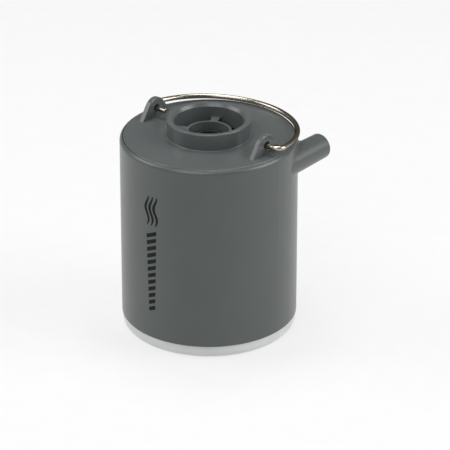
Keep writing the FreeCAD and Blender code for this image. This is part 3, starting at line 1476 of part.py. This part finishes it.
def build_button():
    """Build the push button, the switch behind it and the switch's plunger."""
    level = d("button_level")
    flange_face = GUIDE_FACE - d("plunger_gap")
    flange_back = flange_face - d("button_flange_thickness")
    cap_face = REAR_FLAT + d("button_stand")
    stem_end = BOARD_FRONT + d("switch_height") + d("plunger_height") + d("plunger_gap")
    cap = d("button_radius")
    flange = cap + d("button_flange")
    stem = d("button_stem_radius")
    dish = cap_face - d("button_dish")
    rim = cap - d("button_rim")
    button = turned_body("power_button", [
        (0, stem_end),
        (stem, stem_end),
        (stem, flange_back),
        (flange, flange_back),
        (flange, flange_face),
        (cap, flange_face),
        (cap, cap_face),
        (rim, cap_face),
        (rim - d("button_dish_slope"), dish),
        (0, dish),
    ])
    round_edges(button, "button_edge", d("button_edge_round"), circle_at(cap, cap_face))
    place_facing_rear(button, 0, level)
    switch = new_body("power_switch")
    half = d("switch_half_width")
    block = rear_sketch(switch, "switch_outline", BOARD_FRONT)
    add_rectangles(block, [(-half, level - half, half, level + half)])
    pad(switch, "switch_block", block, d("switch_height"), backwards=True)
    well_y = BOARD_FRONT + d("switch_height") - d("plunger_well")
    well = rear_sketch(switch, "switch_well_circle", well_y)
    add_circles(well, [(0, level, d("plunger_radius") + d("plunger_gap"))])
    pocket(switch, "switch_well", well, d("plunger_well") + OVERRUN)
    plunger = new_body("switch_plunger")
    low = BOARD_FRONT + d("switch_height") - d("plunger_depth")
    circle = rear_sketch(plunger, "plunger_circle", low)
    add_circles(circle, [(0, level, d("plunger_radius"))])
    pad(plunger, "plunger", circle, d("plunger_depth") + d("plunger_height"), backwards=True)


def build_lamp():
    """Build the lamp board, its light chips and the white reflector round them."""
    rings = ((LAMP_BOARD_RADIUS - d("lamp_ring_inset"), 12), (d("lamp_inner_ring_radius"), 6))
    screws_at = on_circle(d("lamp_screw_circle"), THREE_WAYS)
    board = new_body("lamp_board")
    outline = new_sketch(board, "lamp_board_outline", "XY_Plane", LAMP_BOARD_UNDER)
    add_circles(outline, [(0, 0, LAMP_BOARD_RADIUS)])
    add_circles(outline, [(x, y, LOOSE_RADIUS) for x, y in screws_at])
    pad(board, "lamp_board_sheet", outline, d("lamp_board_thickness"))
    chips = new_body("lamp_leds")
    half = d("lamp_chip_half_width")
    chip_low = LAMP_BOARD_UNDER - d("lamp_chip_thickness")
    for radius, count in rings:
        sketch = new_sketch(chips, f"led_outline_{count}", "XY_Plane", chip_low)
        add_rectangles(sketch, [(radius - half, -half, radius + half, half)])
        chip = pad(chips, f"led_{count}", sketch, d("lamp_chip_thickness"))
        polar(chips, f"led_ring_{count}", [chip], count)
    reflector = new_body("reflector")
    plate = new_sketch(reflector, "reflector_outline", "XY_Plane", REFLECTOR_LOW)
    add_circles(plate, [(0, 0, LENS_INNER - d("reflector_gap"))])
    head_hole = d("screw_head_radius") + d("side_gap")
    add_circles(plate, [(x, y, head_hole) for x, y in screws_at])
    for radius, count in rings:
        ways = [360 / count * number for number in range(count)]
        add_circles(plate, [(x, y, d("lamp_hole_radius")) for x, y in on_circle(radius, ways)])
    pad(reflector, "reflector_sheet", plate, d("reflector_thickness"))


# ---------------------------------------------------------------- leads
# the share of a lead's run that the arc at each of its ends may take
ARC_SHARE = 0.45


def lead_shape(points):
    """Return a lead's solid: straight runs joined by arcs, the arcs as large as fit."""
    edges = []
    start = points[0]
    for before, corner, after in zip(points, points[1:], points[2:]):
        way_in = (corner - before).normalize()
        way_out = (after - corner).normalize()
        reach = ARC_SHARE * min(before.distanceToPoint(corner), corner.distanceToPoint(after))
        first = corner - way_in * reach
        last = corner + way_out * reach
        half_turn = way_in.getAngle(way_out) / 2
        radius = reach / math.tan(half_turn)
        inward = (way_out - way_in).normalize()
        middle = corner + inward * (radius / math.cos(half_turn) - radius)
        edges.append(Part.LineSegment(start, first).toShape())
        edges.append(Part.Arc(first, middle, last).toShape())
        start = last
    edges.append(Part.LineSegment(start, points[-1]).toShape())
    path = Part.Wire(edges)
    way = points[1] - points[0]
    section = Part.Wire(Part.makeCircle(d("lead_radius").value, points[0], way))
    return path.makePipeShell([section], True, False)


def build_leads(name, routes):
    """Make a group of leads, each along a list of x, y, z Sizes."""
    shapes = [lead_shape([vector(*point) for point in route]) for route in routes]
    group = DOC.addObject("Part::Feature", name)
    group.Label = name
    group.Shape = Part.makeCompound(shapes)
    return group


def build_all_leads():
    """Run the motor, battery and lamp leads from the main board, inside the housing."""
    face = BOARD_FACE
    tab = d("terminal_spread")
    tab_end = MOTOR_BOTTOM - d("terminal_length")
    motor_routes = []
    for sign, board_x in ((-1, -4), (1, 4)):
        motor_routes.append([
            (sign * tab, as_size(0), tab_end),
            (sign * tab, as_size(0), tab_end - 6),
            (sign * tab * 0.8, face * 0.45, tab_end - 9),
            (as_size(board_x), face * 0.8, tab_end - 6),
            (as_size(board_x), face, tab_end - 6),
        ])
    build_leads("motor_leads", motor_routes)
    strap_x = CELL_SIDE * 0.2
    strap_y = STRAP_Y
    low = CELL_BOTTOM
    high = low + 6
    battery_routes = []
    for sign in (-1, 1):
        battery_routes.append([
            (sign * strap_x, strap_y, low),
            (sign * strap_x, strap_y, high),
            (sign * strap_x, strap_y * 0.2, high + 5),
            (sign * strap_x * 1.6, face * 0.6, high + 6),
            (sign * strap_x * 2, face * 0.85, high + 11),
            (sign * strap_x * 2, face, high + 11),
        ])
    build_leads("battery_leads", battery_routes)
    lamp_routes = []
    for sign in (-1, 1):
        x = sign * d("lead_radius") * 1.4
        lamp_routes.append([
            (x, LAMP_LEAD_Y, LAMP_BOARD_TOP),
            (x, LAMP_LEAD_Y, CHASSIS_TOP + 4),
            (x * 2, LAMP_LEAD_Y - 1, d("board_bottom") + 2),
            (x * 2, face - 3, d("board_bottom") + 6),
            (x * 2, face, d("board_bottom") + 6),
        ])
    build_leads("lamp_leads", lamp_routes)


# ---------------------------------------------------------------- build, check and write
def check_document():
    """Stop if any object failed, or if a node has no sound solid."""
    DOC.recompute()
    for item in DOC.Objects:
        if "Invalid" in item.State or "Error" in item.State:
            raise ValueError(f"{item.Label} failed: {item.State}")
    nodes = [item for item in DOC.Objects if item.TypeId == "PartDesign::Body"]
    nodes += [item for item in DOC.Objects if item.TypeId == "Part::Feature"]
    for node in nodes:
        shape = node.Shape
        if shape.isNull() or not shape.isValid() or not shape.Solids:
            raise ValueError(f"{node.Label} has no sound solid")
    return nodes


def write_nodes(nodes):
    """Write each node's shape to a STEP file that carries its name."""
    os.makedirs("parts", exist_ok=True)
    for node in nodes:
        node.Shape.exportStep(f"parts/{node.Label}.step")
        print(f"{node.Label}: {len(node.Shape.Solids)} solids, {node.Shape.Volume:.1f} mm3")


def build_pump():
    """Build every piece of the pump."""
    build_housing()
    build_lens()
    build_seal("lens_seal", INNER_WALL, LENS_SEAL_LEVEL)
    build_top_cover()
    build_seal("cover_seal", SEAT_RADIUS, COVER_SEAL_LEVEL)
    build_bail()
    build_fan_scroll()
    build_impeller()
    build_motor_shell()
    build_motor_bearings()
    build_motor_magnets()
    build_motor_shaft()
    build_motor_rotor()
    build_motor_terminals()
    build_fasteners()
    build_chassis()
    build_cells()
    build_main_board()
    build_light_guide()
    build_charging_port()
    build_port_cover()
    build_button()
    build_lamp()
    build_all_leads()


build_pump()
write_nodes(check_document())
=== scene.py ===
"""Looks of the cordless air mattress pump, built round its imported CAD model.

Everything is in metres in the part's own frame: +Z up along the housing's axis, the origin at
the centre of the flat face it stands on, the nozzle towards +Y, the handle's hinge line on X.
"""
import json
import math

import bmesh
import bpy
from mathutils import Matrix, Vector


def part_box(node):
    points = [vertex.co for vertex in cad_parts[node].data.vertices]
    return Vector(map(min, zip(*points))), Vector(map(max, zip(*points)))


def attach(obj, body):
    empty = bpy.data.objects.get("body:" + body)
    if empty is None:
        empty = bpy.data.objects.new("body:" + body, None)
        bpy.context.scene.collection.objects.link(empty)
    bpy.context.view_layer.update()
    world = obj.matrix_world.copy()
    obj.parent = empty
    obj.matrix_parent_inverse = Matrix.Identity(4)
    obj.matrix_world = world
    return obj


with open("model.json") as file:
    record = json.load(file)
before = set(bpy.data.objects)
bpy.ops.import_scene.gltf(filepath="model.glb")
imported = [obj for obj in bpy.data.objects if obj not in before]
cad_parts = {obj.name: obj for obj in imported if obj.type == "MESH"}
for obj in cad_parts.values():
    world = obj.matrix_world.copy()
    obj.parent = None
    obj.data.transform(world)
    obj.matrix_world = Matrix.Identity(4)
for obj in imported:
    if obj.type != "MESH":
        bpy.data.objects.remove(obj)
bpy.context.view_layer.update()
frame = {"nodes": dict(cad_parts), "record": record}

MM = 0.001

# ---------------------------------------------------------------- camera, floor and lights
CAMERA_AZIMUTH = 39.5
CAMERA_ELEVATION = 26.3
CAMERA_DISTANCE = 1.428
CAMERA_AIM = Vector((0.0181, -0.0099, 0.0600))
CAMERA_LENS = 240.5
LIGHTS_AIM = Vector((0, 0, 0.05))
# name, degrees round from the camera, elevation, distance, width and power in watts
LIGHTS = (
    ("key", 80, 30, 1.2, 0.8, 10.5),
    ("rim", -95, 35, 1.2, 0.7, 6.0),
    ("overhead", 180, 78, 1.1, 0.55, 7.0),
    ("fill", -25, 48, 1.2, 0.8, 6.0),
)
# the room's light fades from the low to the high strength between these heights
WORLD_BAND_LOW = 0.05
WORLD_BAND_HIGH = 0.75
WORLD_LOW_STRENGTH = 0.24
WORLD_HIGH_STRENGTH = 0.08
FLOOR_GLOW = 0.67
FLOOR_REACH = 4.0


def direction(azimuth, elevation):
    """Return the unit vector from the object towards a viewer at these angles in degrees."""
    a = math.radians(azimuth)
    e = math.radians(elevation)
    return Vector((math.sin(a) * math.cos(e), -math.cos(a) * math.cos(e), math.sin(e)))


def make_camera():
    """Put the camera where the photographer stood: far back, with a long lens."""
    data = bpy.data.cameras.new("camera")
    data.lens = CAMERA_LENS
    data.sensor_width = 36.0
    data.clip_start = 0.1
    data.clip_end = 20.0
    camera = bpy.data.objects.new("camera", data)
    back = direction(CAMERA_AZIMUTH, CAMERA_ELEVATION)
    camera.location = CAMERA_AIM + back * CAMERA_DISTANCE
    camera.rotation_mode = "QUATERNION"
    camera.rotation_quaternion = (-back).to_track_quat("-Z", "Y")
    bpy.context.scene.collection.objects.link(camera)
    bpy.context.scene.camera = camera


def make_light(name, azimuth, elevation, distance, size, power):
    """Add a square soft light that faces the object from an angle."""
    data = bpy.data.lights.new(name, "AREA")
    data.shape = "SQUARE"
    data.size = size
    data.energy = power
    light = bpy.data.objects.new(name, data)
    back = direction(azimuth, elevation)
    light.location = LIGHTS_AIM + back * distance
    light.rotation_mode = "QUATERNION"
    light.rotation_quaternion = (-back).to_track_quat("-Z", "Y")
    bpy.context.scene.collection.objects.link(light)


def make_world():
    """Light the room faintly, most near the horizon, as pale walls do in a dim studio."""
    world = bpy.data.worlds.new("studio")
    world.use_nodes = True
    tree = world.node_tree
    background = tree.nodes["Background"]
    background.inputs["Color"].default_value = (1.0, 1.0, 1.0, 1.0)
    place = tree.nodes.new("ShaderNodeTexCoord")
    split = tree.nodes.new("ShaderNodeSeparateXYZ")
    tree.links.new(place.outputs["Generated"], split.inputs["Vector"])
    height = tree.nodes.new("ShaderNodeMapRange")
    height.interpolation_type = "SMOOTHSTEP"
    height.inputs["From Min"].default_value = WORLD_BAND_LOW
    height.inputs["From Max"].default_value = WORLD_BAND_HIGH
    height.inputs["To Min"].default_value = WORLD_LOW_STRENGTH
    height.inputs["To Max"].default_value = WORLD_HIGH_STRENGTH
    tree.links.new(split.outputs["Z"], height.inputs["Value"])
    tree.links.new(height.outputs["Result"], background.inputs["Strength"])
    bpy.context.scene.world = world


make_camera()
make_world()
for light_name, turn, *settings in LIGHTS:
    make_light(light_name, CAMERA_AZIMUTH + turn, *settings)
# the plain display curve keeps the paper pale and the plastic dark, as a printed picture has them
bpy.context.scene.view_settings.view_transform = "Standard"


# ---------------------------------------------------------------- materials
class Shader:
    """A material's node tree, with short calls to add and join its nodes."""

    def __init__(self, name):
        self.material = bpy.data.materials.new(name)
        self.material.use_nodes = True
        self.tree = self.material.node_tree
        self.surface = self.tree.nodes["Principled BSDF"]
        self.place = self.add("ShaderNodeTexCoord").outputs["Object"]

    def add(self, kind, **settings):
        """Add a node and set its own properties."""
        node = self.tree.nodes.new(kind)
        for key, setting in settings.items():
            setattr(node, key, setting)
        return node

    def join(self, output, socket):
        """Join an output to an input."""
        self.tree.links.new(output, socket)

    def stretch(self, scale):
        """Return the place on the object, scaled by a different factor along each axis."""
        mapping = self.add("ShaderNodeMapping")
        mapping.inputs["Scale"].default_value = scale
        self.join(self.place, mapping.inputs["Vector"])
        return mapping.outputs["Vector"]

    def noise(self, scale, detail=3.0, roughness=0.5, where=None):
        """Return a noise value whose grains are 1 / scale metres across."""
        node = self.add("ShaderNodeTexNoise")
        node.inputs["Scale"].default_value = scale
        node.inputs["Detail"].default_value = detail
        node.inputs["Roughness"].default_value = roughness
        self.join(where or self.place, node.inputs["Vector"])
        return node.outputs["Fac"]

    def ramp(self, value, low, high, start=0.3, end=0.7):
        """Map a value between start and end to a plain number between low and high."""
        node = self.add("ShaderNodeMapRange")
        node.inputs["From Min"].default_value = start
        node.inputs["From Max"].default_value = end
        node.inputs["To Min"].default_value = low
        node.inputs["To Max"].default_value = high
        self.join(value, node.inputs["Value"])
        return node.outputs["Result"]

    def math(self, operation, first, second):
        """Combine two values, either of which may be a plain number."""
        node = self.add("ShaderNodeMath", operation=operation)
        for value, socket in ((first, node.inputs[0]), (second, node.inputs[1])):
            if isinstance(value, (int, float)):
                socket.default_value = value
            else:
                self.join(value, socket)
        return node.outputs["Value"]

    def mix(self, factor, first, second):
        """Mix two colours by a value; each colour is a tuple or another node's output."""
        node = self.add("ShaderNodeMix", data_type="RGBA")
        self.join(factor, node.inputs["Factor"])
        for colour, socket in ((first, node.inputs["A"]), (second, node.inputs["B"])):
            if isinstance(colour, tuple):
                socket.default_value = (*colour, 1.0)
            else:
                self.join(colour, socket)
        return node.outputs["Result"]

    def edges(self, width):
        """Return a value near 1 on convex and concave edges and near 0 on open faces."""
        bevel = self.add("ShaderNodeBevel", samples=6)
        bevel.inputs["Radius"].default_value = width
        geometry = self.add("ShaderNodeNewGeometry")
        dot = self.add("ShaderNodeVectorMath", operation="DOT_PRODUCT")
        self.join(bevel.outputs["Normal"], dot.inputs[0])
        self.join(geometry.outputs["Normal"], dot.inputs[1])
        return self.ramp(dot.outputs["Value"], 1.0, 0.0, 0.80, 0.995)

    def bump(self, height, distance, strength=1.0, after=None):
        """Add a bump of a real depth, in metres, and return its normal."""
        node = self.add("ShaderNodeBump")
        node.inputs["Distance"].default_value = distance
        node.inputs["Strength"].default_value = strength
        self.join(height, node.inputs["Height"])
        if after is not None:
            self.join(after, node.inputs["Normal"])
        return node.outputs["Normal"]

    def set(self, **values):
        """Set sockets of the surface; a tuple of three is a colour, a node output a link."""
        for key, value in values.items():
            socket = self.surface.inputs[key.replace("_", " ")]
            if isinstance(value, tuple):
                socket.default_value = (*value, 1.0) if len(socket.default_value) == 4 else value
            elif isinstance(value, (int, float)):
                socket.default_value = value
            else:
                self.join(value, socket)


RUBBED_WIDTH = 0.5 * MM


def moulded_plastic(name, colour, roughness, grain=0.000035, wear=0.35):
    """Make satin plastic from a spark-eroded mould: fine grain, faint clouds, rubbed edges."""
    shader = Shader(name)
    clouds = shader.ramp(shader.noise(45.0, 4.0), 0.0, 1.0)
    darker = tuple(channel * 0.97 for channel in colour)
    lighter = tuple(channel * 1.03 for channel in colour)
    rubbed = tuple(min(1.0, channel * 1.5 + 0.01) for channel in colour)
    edge = shader.math("MULTIPLY", shader.edges(RUBBED_WIDTH), wear)
    scuff = shader.ramp(shader.noise(420.0, 5.0, 0.65), 0.25, 1.0, 0.40, 0.75)
    worn = shader.math("MULTIPLY", edge, scuff)
    shader.set(Base_Color=shader.mix(worn, shader.mix(clouds, darker, lighter), rubbed))
    patches = shader.ramp(shader.noise(160.0, 4.0, 0.6), roughness - 0.02, roughness + 0.02)
    shader.set(Roughness=shader.math("SUBTRACT", patches, shader.math("MULTIPLY", worn, 0.15)))
    fine = shader.bump(shader.noise(5200.0, 2.0, 0.6), grain, 0.55)
    soft = shader.bump(shader.noise(900.0, 3.0, 0.55), grain * 1.4, 0.35, fine)
    shader.set(Normal=soft)
    shader.surface.inputs["Specular IOR Level"].default_value = 0.45
    return shader.material


def frosted_lens():
    """Make milky plastic that lets a little light in and has a finely blasted surface."""
    shader = Shader("frosted_lens")
    clouds = shader.ramp(shader.noise(60.0, 3.0), 0.0, 1.0)
    shader.set(Base_Color=shader.mix(clouds, (0.54, 0.555, 0.55), (0.60, 0.61, 0.605)))
    shader.set(Roughness=shader.ramp(shader.noise(700.0, 4.0), 0.34, 0.44))
    shader.surface.inputs["Subsurface Weight"].default_value = 0.35
    shader.surface.inputs["Subsurface Radius"].default_value = (0.0025, 0.0024, 0.0022)
    shader.surface.inputs["Subsurface Scale"].default_value = 1.0
    shader.surface.inputs["IOR"].default_value = 1.49
    shader.set(Normal=shader.bump(shader.noise(4200.0, 3.0, 0.6), 0.00002, 0.5))
    return shader.material


def polished_wire():
    """Make plated wire, warm grey, with faint drawing lines, small dull patches and painted shade
    on its grazing edges.
    """
    shader = Shader("polished_wire")
    dull = shader.ramp(shader.noise(260.0, 5.0, 0.6), 0.0, 1.0, 0.42, 0.70)
    # the warm grey is the plating's own tone, set a little dark so that the pale room shows as
    # mid grey in it: partly painted shade
    shader.set(Base_Color=shader.mix(dull, (0.46, 0.42, 0.355), (0.40, 0.36, 0.30)))
    shader.set(Metallic=1.0, Roughness=shader.ramp(dull, 0.22, 0.30, 0.0, 1.0))
    # the near-black edge tint is painted shade: it darkens the wire's grazing edges as a
    # reflection of a dark room would
    shader.surface.inputs["Specular Tint"].default_value = (0.08, 0.07, 0.05, 1.0)
    lines = shader.noise(2600.0, 3.0, 0.6)
    shader.set(Normal=shader.bump(lines, 0.000003, 0.4))
    return shader.material


def soft_rubber(name, colour):
    """Make matte rubber with a powdery, finely pitted skin."""
    shader = Shader(name)
    dust = shader.ramp(shader.noise(300.0, 5.0, 0.65), 0.0, 1.0, 0.4, 0.75)
    paler = tuple(channel * 1.6 + 0.01 for channel in colour)
    shader.set(Base_Color=shader.mix(dust, colour, paler))
    shader.set(Roughness=shader.ramp(shader.noise(800.0, 3.0), 0.62, 0.78))
    shader.set(Normal=shader.bump(shader.noise(3000.0, 3.0, 0.6), 0.00003, 0.6))
    shader.surface.inputs["Specular IOR Level"].default_value = 0.3
    return shader.material


def plated_steel(name, colour, roughness):
    """Make turned or pressed metal with fine marks and uneven shine."""
    shader = Shader(name)
    marks = shader.noise(900.0, 5.0, 0.65, shader.stretch((1.0, 1.0, 9.0)))
    darker = tuple(channel * 0.8 for channel in colour)
    shader.set(Base_Color=shader.mix(shader.ramp(marks, 0.0, 1.0), darker, colour))
    shader.set(Metallic=1.0, Roughness=shader.ramp(marks, roughness - 0.06, roughness + 0.1))
    shader.set(Normal=shader.bump(marks, 0.00001, 0.4))
    return shader.material


def clear_plastic():
    """Make a clear light guide with a faintly milky core."""
    shader = Shader("clear_plastic")
    cloud = shader.ramp(shader.noise(500.0, 3.0), 0.0, 1.0)
    shader.set(Base_Color=shader.mix(cloud, (0.72, 0.76, 0.76), (0.86, 0.89, 0.88)))
    shader.set(Roughness=shader.ramp(shader.noise(1500.0, 2.0), 0.12, 0.25))
    shader.surface.inputs["Transmission Weight"].default_value = 0.6
    shader.surface.inputs["IOR"].default_value = 1.49
    return shader.material


def studio_floor():
    """Make the even, pale, seamless paper that the object stands on, softly lit from below."""
    shader = Shader("studio_floor")
    fibre = shader.ramp(shader.noise(90.0, 4.0), 0.0, 1.0)
    shader.set(Base_Color=shader.mix(fibre, (0.22, 0.22, 0.22), (0.23, 0.23, 0.23)))
    shader.set(Roughness=0.9, Emission_Strength=FLOOR_GLOW)
    shader.surface.inputs["Emission Color"].default_value = (1.0, 1.0, 1.0, 1.0)
    shader.surface.inputs["Specular IOR Level"].default_value = 0.0
    return shader.material


def printing_ink():
    """Make thin matte black ink, a little uneven, as a pad printer leaves it."""
    shader = Shader("printing_ink")
    thin = shader.ramp(shader.noise(900.0, 5.0, 0.65), 0.0, 1.0, 0.35, 0.7)
    shader.set(Base_Color=shader.mix(thin, (0.005, 0.006, 0.006), (0.012, 0.013, 0.014)))
    shader.set(Roughness=shader.ramp(thin, 0.50, 0.62, 0.0, 1.0))
    shader.set(Normal=shader.bump(shader.noise(5000.0, 2.0), 0.00001, 0.4))
    shader.surface.inputs["Specular IOR Level"].default_value = 0.12
    return shader.material


MATERIALS = {
    "shell_grey": moulded_plastic("shell_grey", (0.074, 0.084, 0.081), 0.31, 0.00002),
    "cover_grey": moulded_plastic("cover_grey", (0.081, 0.089, 0.088), 0.25, 0.00002),
    "frosted_lens": frosted_lens(),
    "polished_wire": polished_wire(),
    "dark_plastic": moulded_plastic("dark_plastic", (0.020, 0.021, 0.022), 0.42),
    "white_plastic": moulded_plastic("white_plastic", (0.72, 0.72, 0.70), 0.4),
    "black_rubber": soft_rubber("black_rubber", (0.022, 0.023, 0.024)),
    "button_grey": moulded_plastic("button_grey", (0.060, 0.064, 0.064), 0.5),
    "steel": plated_steel("steel", (0.62, 0.61, 0.59), 0.28),
    "dark_steel": plated_steel("dark_steel", (0.12, 0.12, 0.13), 0.5),
    "bronze": plated_steel("bronze", (0.55, 0.40, 0.22), 0.4),
    "copper": plated_steel("copper", (0.70, 0.33, 0.17), 0.32),
    "cell_wrap": moulded_plastic("cell_wrap", (0.03, 0.12, 0.30), 0.3),
    "board_green": moulded_plastic("board_green", (0.012, 0.11, 0.045), 0.3),
    "board_white": moulded_plastic("board_white", (0.75, 0.75, 0.73), 0.35),
    "clear_plastic": clear_plastic(),
    "lead_sleeve": soft_rubber("lead_sleeve", (0.30, 0.015, 0.012)),
    "foam": soft_rubber("foam", (0.03, 0.03, 0.03)),
}
INK = printing_ink()


def dress_cad_nodes():
    """Give every CAD node the finished material of its slot."""
    slots = {row["node"]: row["material_slot"] for row in frame["record"]["subparts"]}
    for name, node in frame["nodes"].items():
        node.data.materials.clear()
        node.data.materials.append(MATERIALS[slots[name]])


def make_floor():
    """Lay a large plane under the object."""
    mesh = bpy.data.meshes.new("floor")
    far = FLOOR_REACH
    corners = [(-far, -far, 0), (far, -far, 0), (far, far, 0), (-far, far, 0)]
    mesh.from_pydata(corners, [], [(0, 1, 2, 3)])
    floor = bpy.data.objects.new("floor", mesh)
    bpy.context.scene.collection.objects.link(floor)
    mesh.materials.append(studio_floor())


# ---------------------------------------------------------------- printed marks
PRINT_RAISED = 0.02 * MM
PRINT_SUNK = 0.05 * MM
WAVE_PITCH = 2.5 * MM
WAVE_WIDTH = 1.6 * MM
WAVE_LOW = 66.5 * MM
WAVE_HIGH = 81.5 * MM
WAVE_SWAY = 0.95 * MM
WAVE_TURNS = 1.25
WAVE_STEPS = 36
# a stroke's least share of its full width, and how bluntly it narrows towards its ends
WAVE_TIP = 0.12
WAVE_TAPER = 0.4
BAR_COUNT = 12
BAR_LOW = 21.5 * MM
BAR_PITCH = 3.55 * MM
BAR_HEIGHT = 2.1 * MM
BAR_HALF_WIDTH = 1.9 * MM
BAR_GROWTH = 0.10 * MM
BAR_SLANT = 0.45
BAR_COLUMN = 0.35 * MM
BUTTON_DISH = 0.35 * MM
SYMBOL_RADIUS = 1.9 * MM
SYMBOL_STROKE = 0.5 * MM
STROKE_LOW = 0.3 * SYMBOL_RADIUS
STROKE_HIGH = 1.25 * SYMBOL_RADIUS
SYMBOL_STEPS = 40
# half of the ring's opening, in degrees
SYMBOL_GAP = 32.0
WALL_RADIUS = -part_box("housing")[0].x
BUTTON_LOW, BUTTON_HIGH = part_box("power_button")


def on_wall(across, level, lift):
    """Return a point off the round wall, on the side that faces away from the nozzle."""
    radius = WALL_RADIUS + lift
    angle = across / WALL_RADIUS
    return (radius * math.sin(angle), -radius * math.cos(angle), level)


def on_button(across, up, lift):
    """Return a point off the dished face of the button."""
    middle = (BUTTON_LOW + BUTTON_HIGH) / 2
    return (middle.x + across, BUTTON_HIGH.y - BUTTON_DISH + lift, middle.z + up)


def add_strip(mesh, lay, left, right):
    """Add a thin strip of ink between two lines of points, which lay() puts on a surface."""
    rings = []
    for near, far in zip(left, right):
        under = [mesh.verts.new(lay(*near, -PRINT_SUNK)), mesh.verts.new(lay(*far, -PRINT_SUNK))]
        over = [mesh.verts.new(lay(*far, PRINT_RAISED)), mesh.verts.new(lay(*near, PRINT_RAISED))]
        rings.append(under + over)
    for before, after in zip(rings, rings[1:]):
        for side in range(4):
            following = (side + 1) % 4
            mesh.faces.new([before[side], before[following], after[following], after[side]])
    mesh.faces.new(rings[0][::-1])
    mesh.faces.new(rings[-1])


def finish_print(mesh, name, body):
    """Turn the strips into one piece of ink that moves with a body."""
    bmesh.ops.recalc_face_normals(mesh, faces=mesh.faces)
    data = bpy.data.meshes.new(name)
    mesh.to_mesh(data)
    mesh.free()
    data.materials.append(INK)
    piece = bpy.data.objects.new(name, data)
    bpy.context.scene.collection.objects.link(piece)
    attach(piece, body)


def add_wave(mesh, middle):
    """Add one upright wavy stroke, like a stream of air, with tapered ends."""
    left = []
    right = []
    for step in range(WAVE_STEPS + 1):
        share = step / WAVE_STEPS
        level = WAVE_LOW + (WAVE_HIGH - WAVE_LOW) * share
        sway = WAVE_SWAY * math.sin(2 * math.pi * WAVE_TURNS * share)
        half = 0.5 * WAVE_WIDTH * max(WAVE_TIP, math.sin(math.pi * share)) ** WAVE_TAPER
        left.append((middle + sway - half, level))
        right.append((middle + sway + half, level))
    add_strip(mesh, on_wall, left, right)


def add_bar(mesh, half_width, low):
    """Add one slanted bar, in columns narrow enough to follow the round wall."""
    columns = max(2, round(2 * half_width / BAR_COLUMN))
    under = []
    over = []
    for column in range(columns + 1):
        across = half_width * (2 * column / columns - 1)
        under.append((across, low + BAR_SLANT * across))
        over.append((across, low + BAR_HEIGHT + BAR_SLANT * across))
    add_strip(mesh, on_wall, under, over)


def make_side_print():
    """Print three streams of air over a column of slanted bars, in place of any wording."""
    mesh = bmesh.new()
    for place in (-1, 0, 1):
        add_wave(mesh, place * WAVE_PITCH)
    for number in range(BAR_COUNT):
        add_bar(mesh, BAR_HALF_WIDTH + BAR_GROWTH * number, BAR_LOW + BAR_PITCH * number)
    finish_print(mesh, "side_print", "pump_body")


def make_button_symbol():
    """Print a plain open ring with a stroke through its gap on the face of the button."""
    mesh = bmesh.new()
    half = SYMBOL_STROKE / 2
    inner = []
    outer = []
    for step in range(SYMBOL_STEPS + 1):
        angle = math.radians(90 + SYMBOL_GAP + (360 - 2 * SYMBOL_GAP) * step / SYMBOL_STEPS)
        for radius, line in ((SYMBOL_RADIUS - half, inner), (SYMBOL_RADIUS + half, outer)):
            line.append((radius * math.cos(angle), radius * math.sin(angle)))
    add_strip(mesh, on_button, inner, outer)
    stroke_left = [(-half, STROKE_LOW), (-half, STROKE_HIGH)]
    stroke_right = [(half, STROKE_LOW), (half, STROKE_HIGH)]
    add_strip(mesh, on_button, stroke_left, stroke_right)
    finish_print(mesh, "button_symbol", "button")


dress_cad_nodes()
make_side_print()
make_button_symbol()
make_floor()
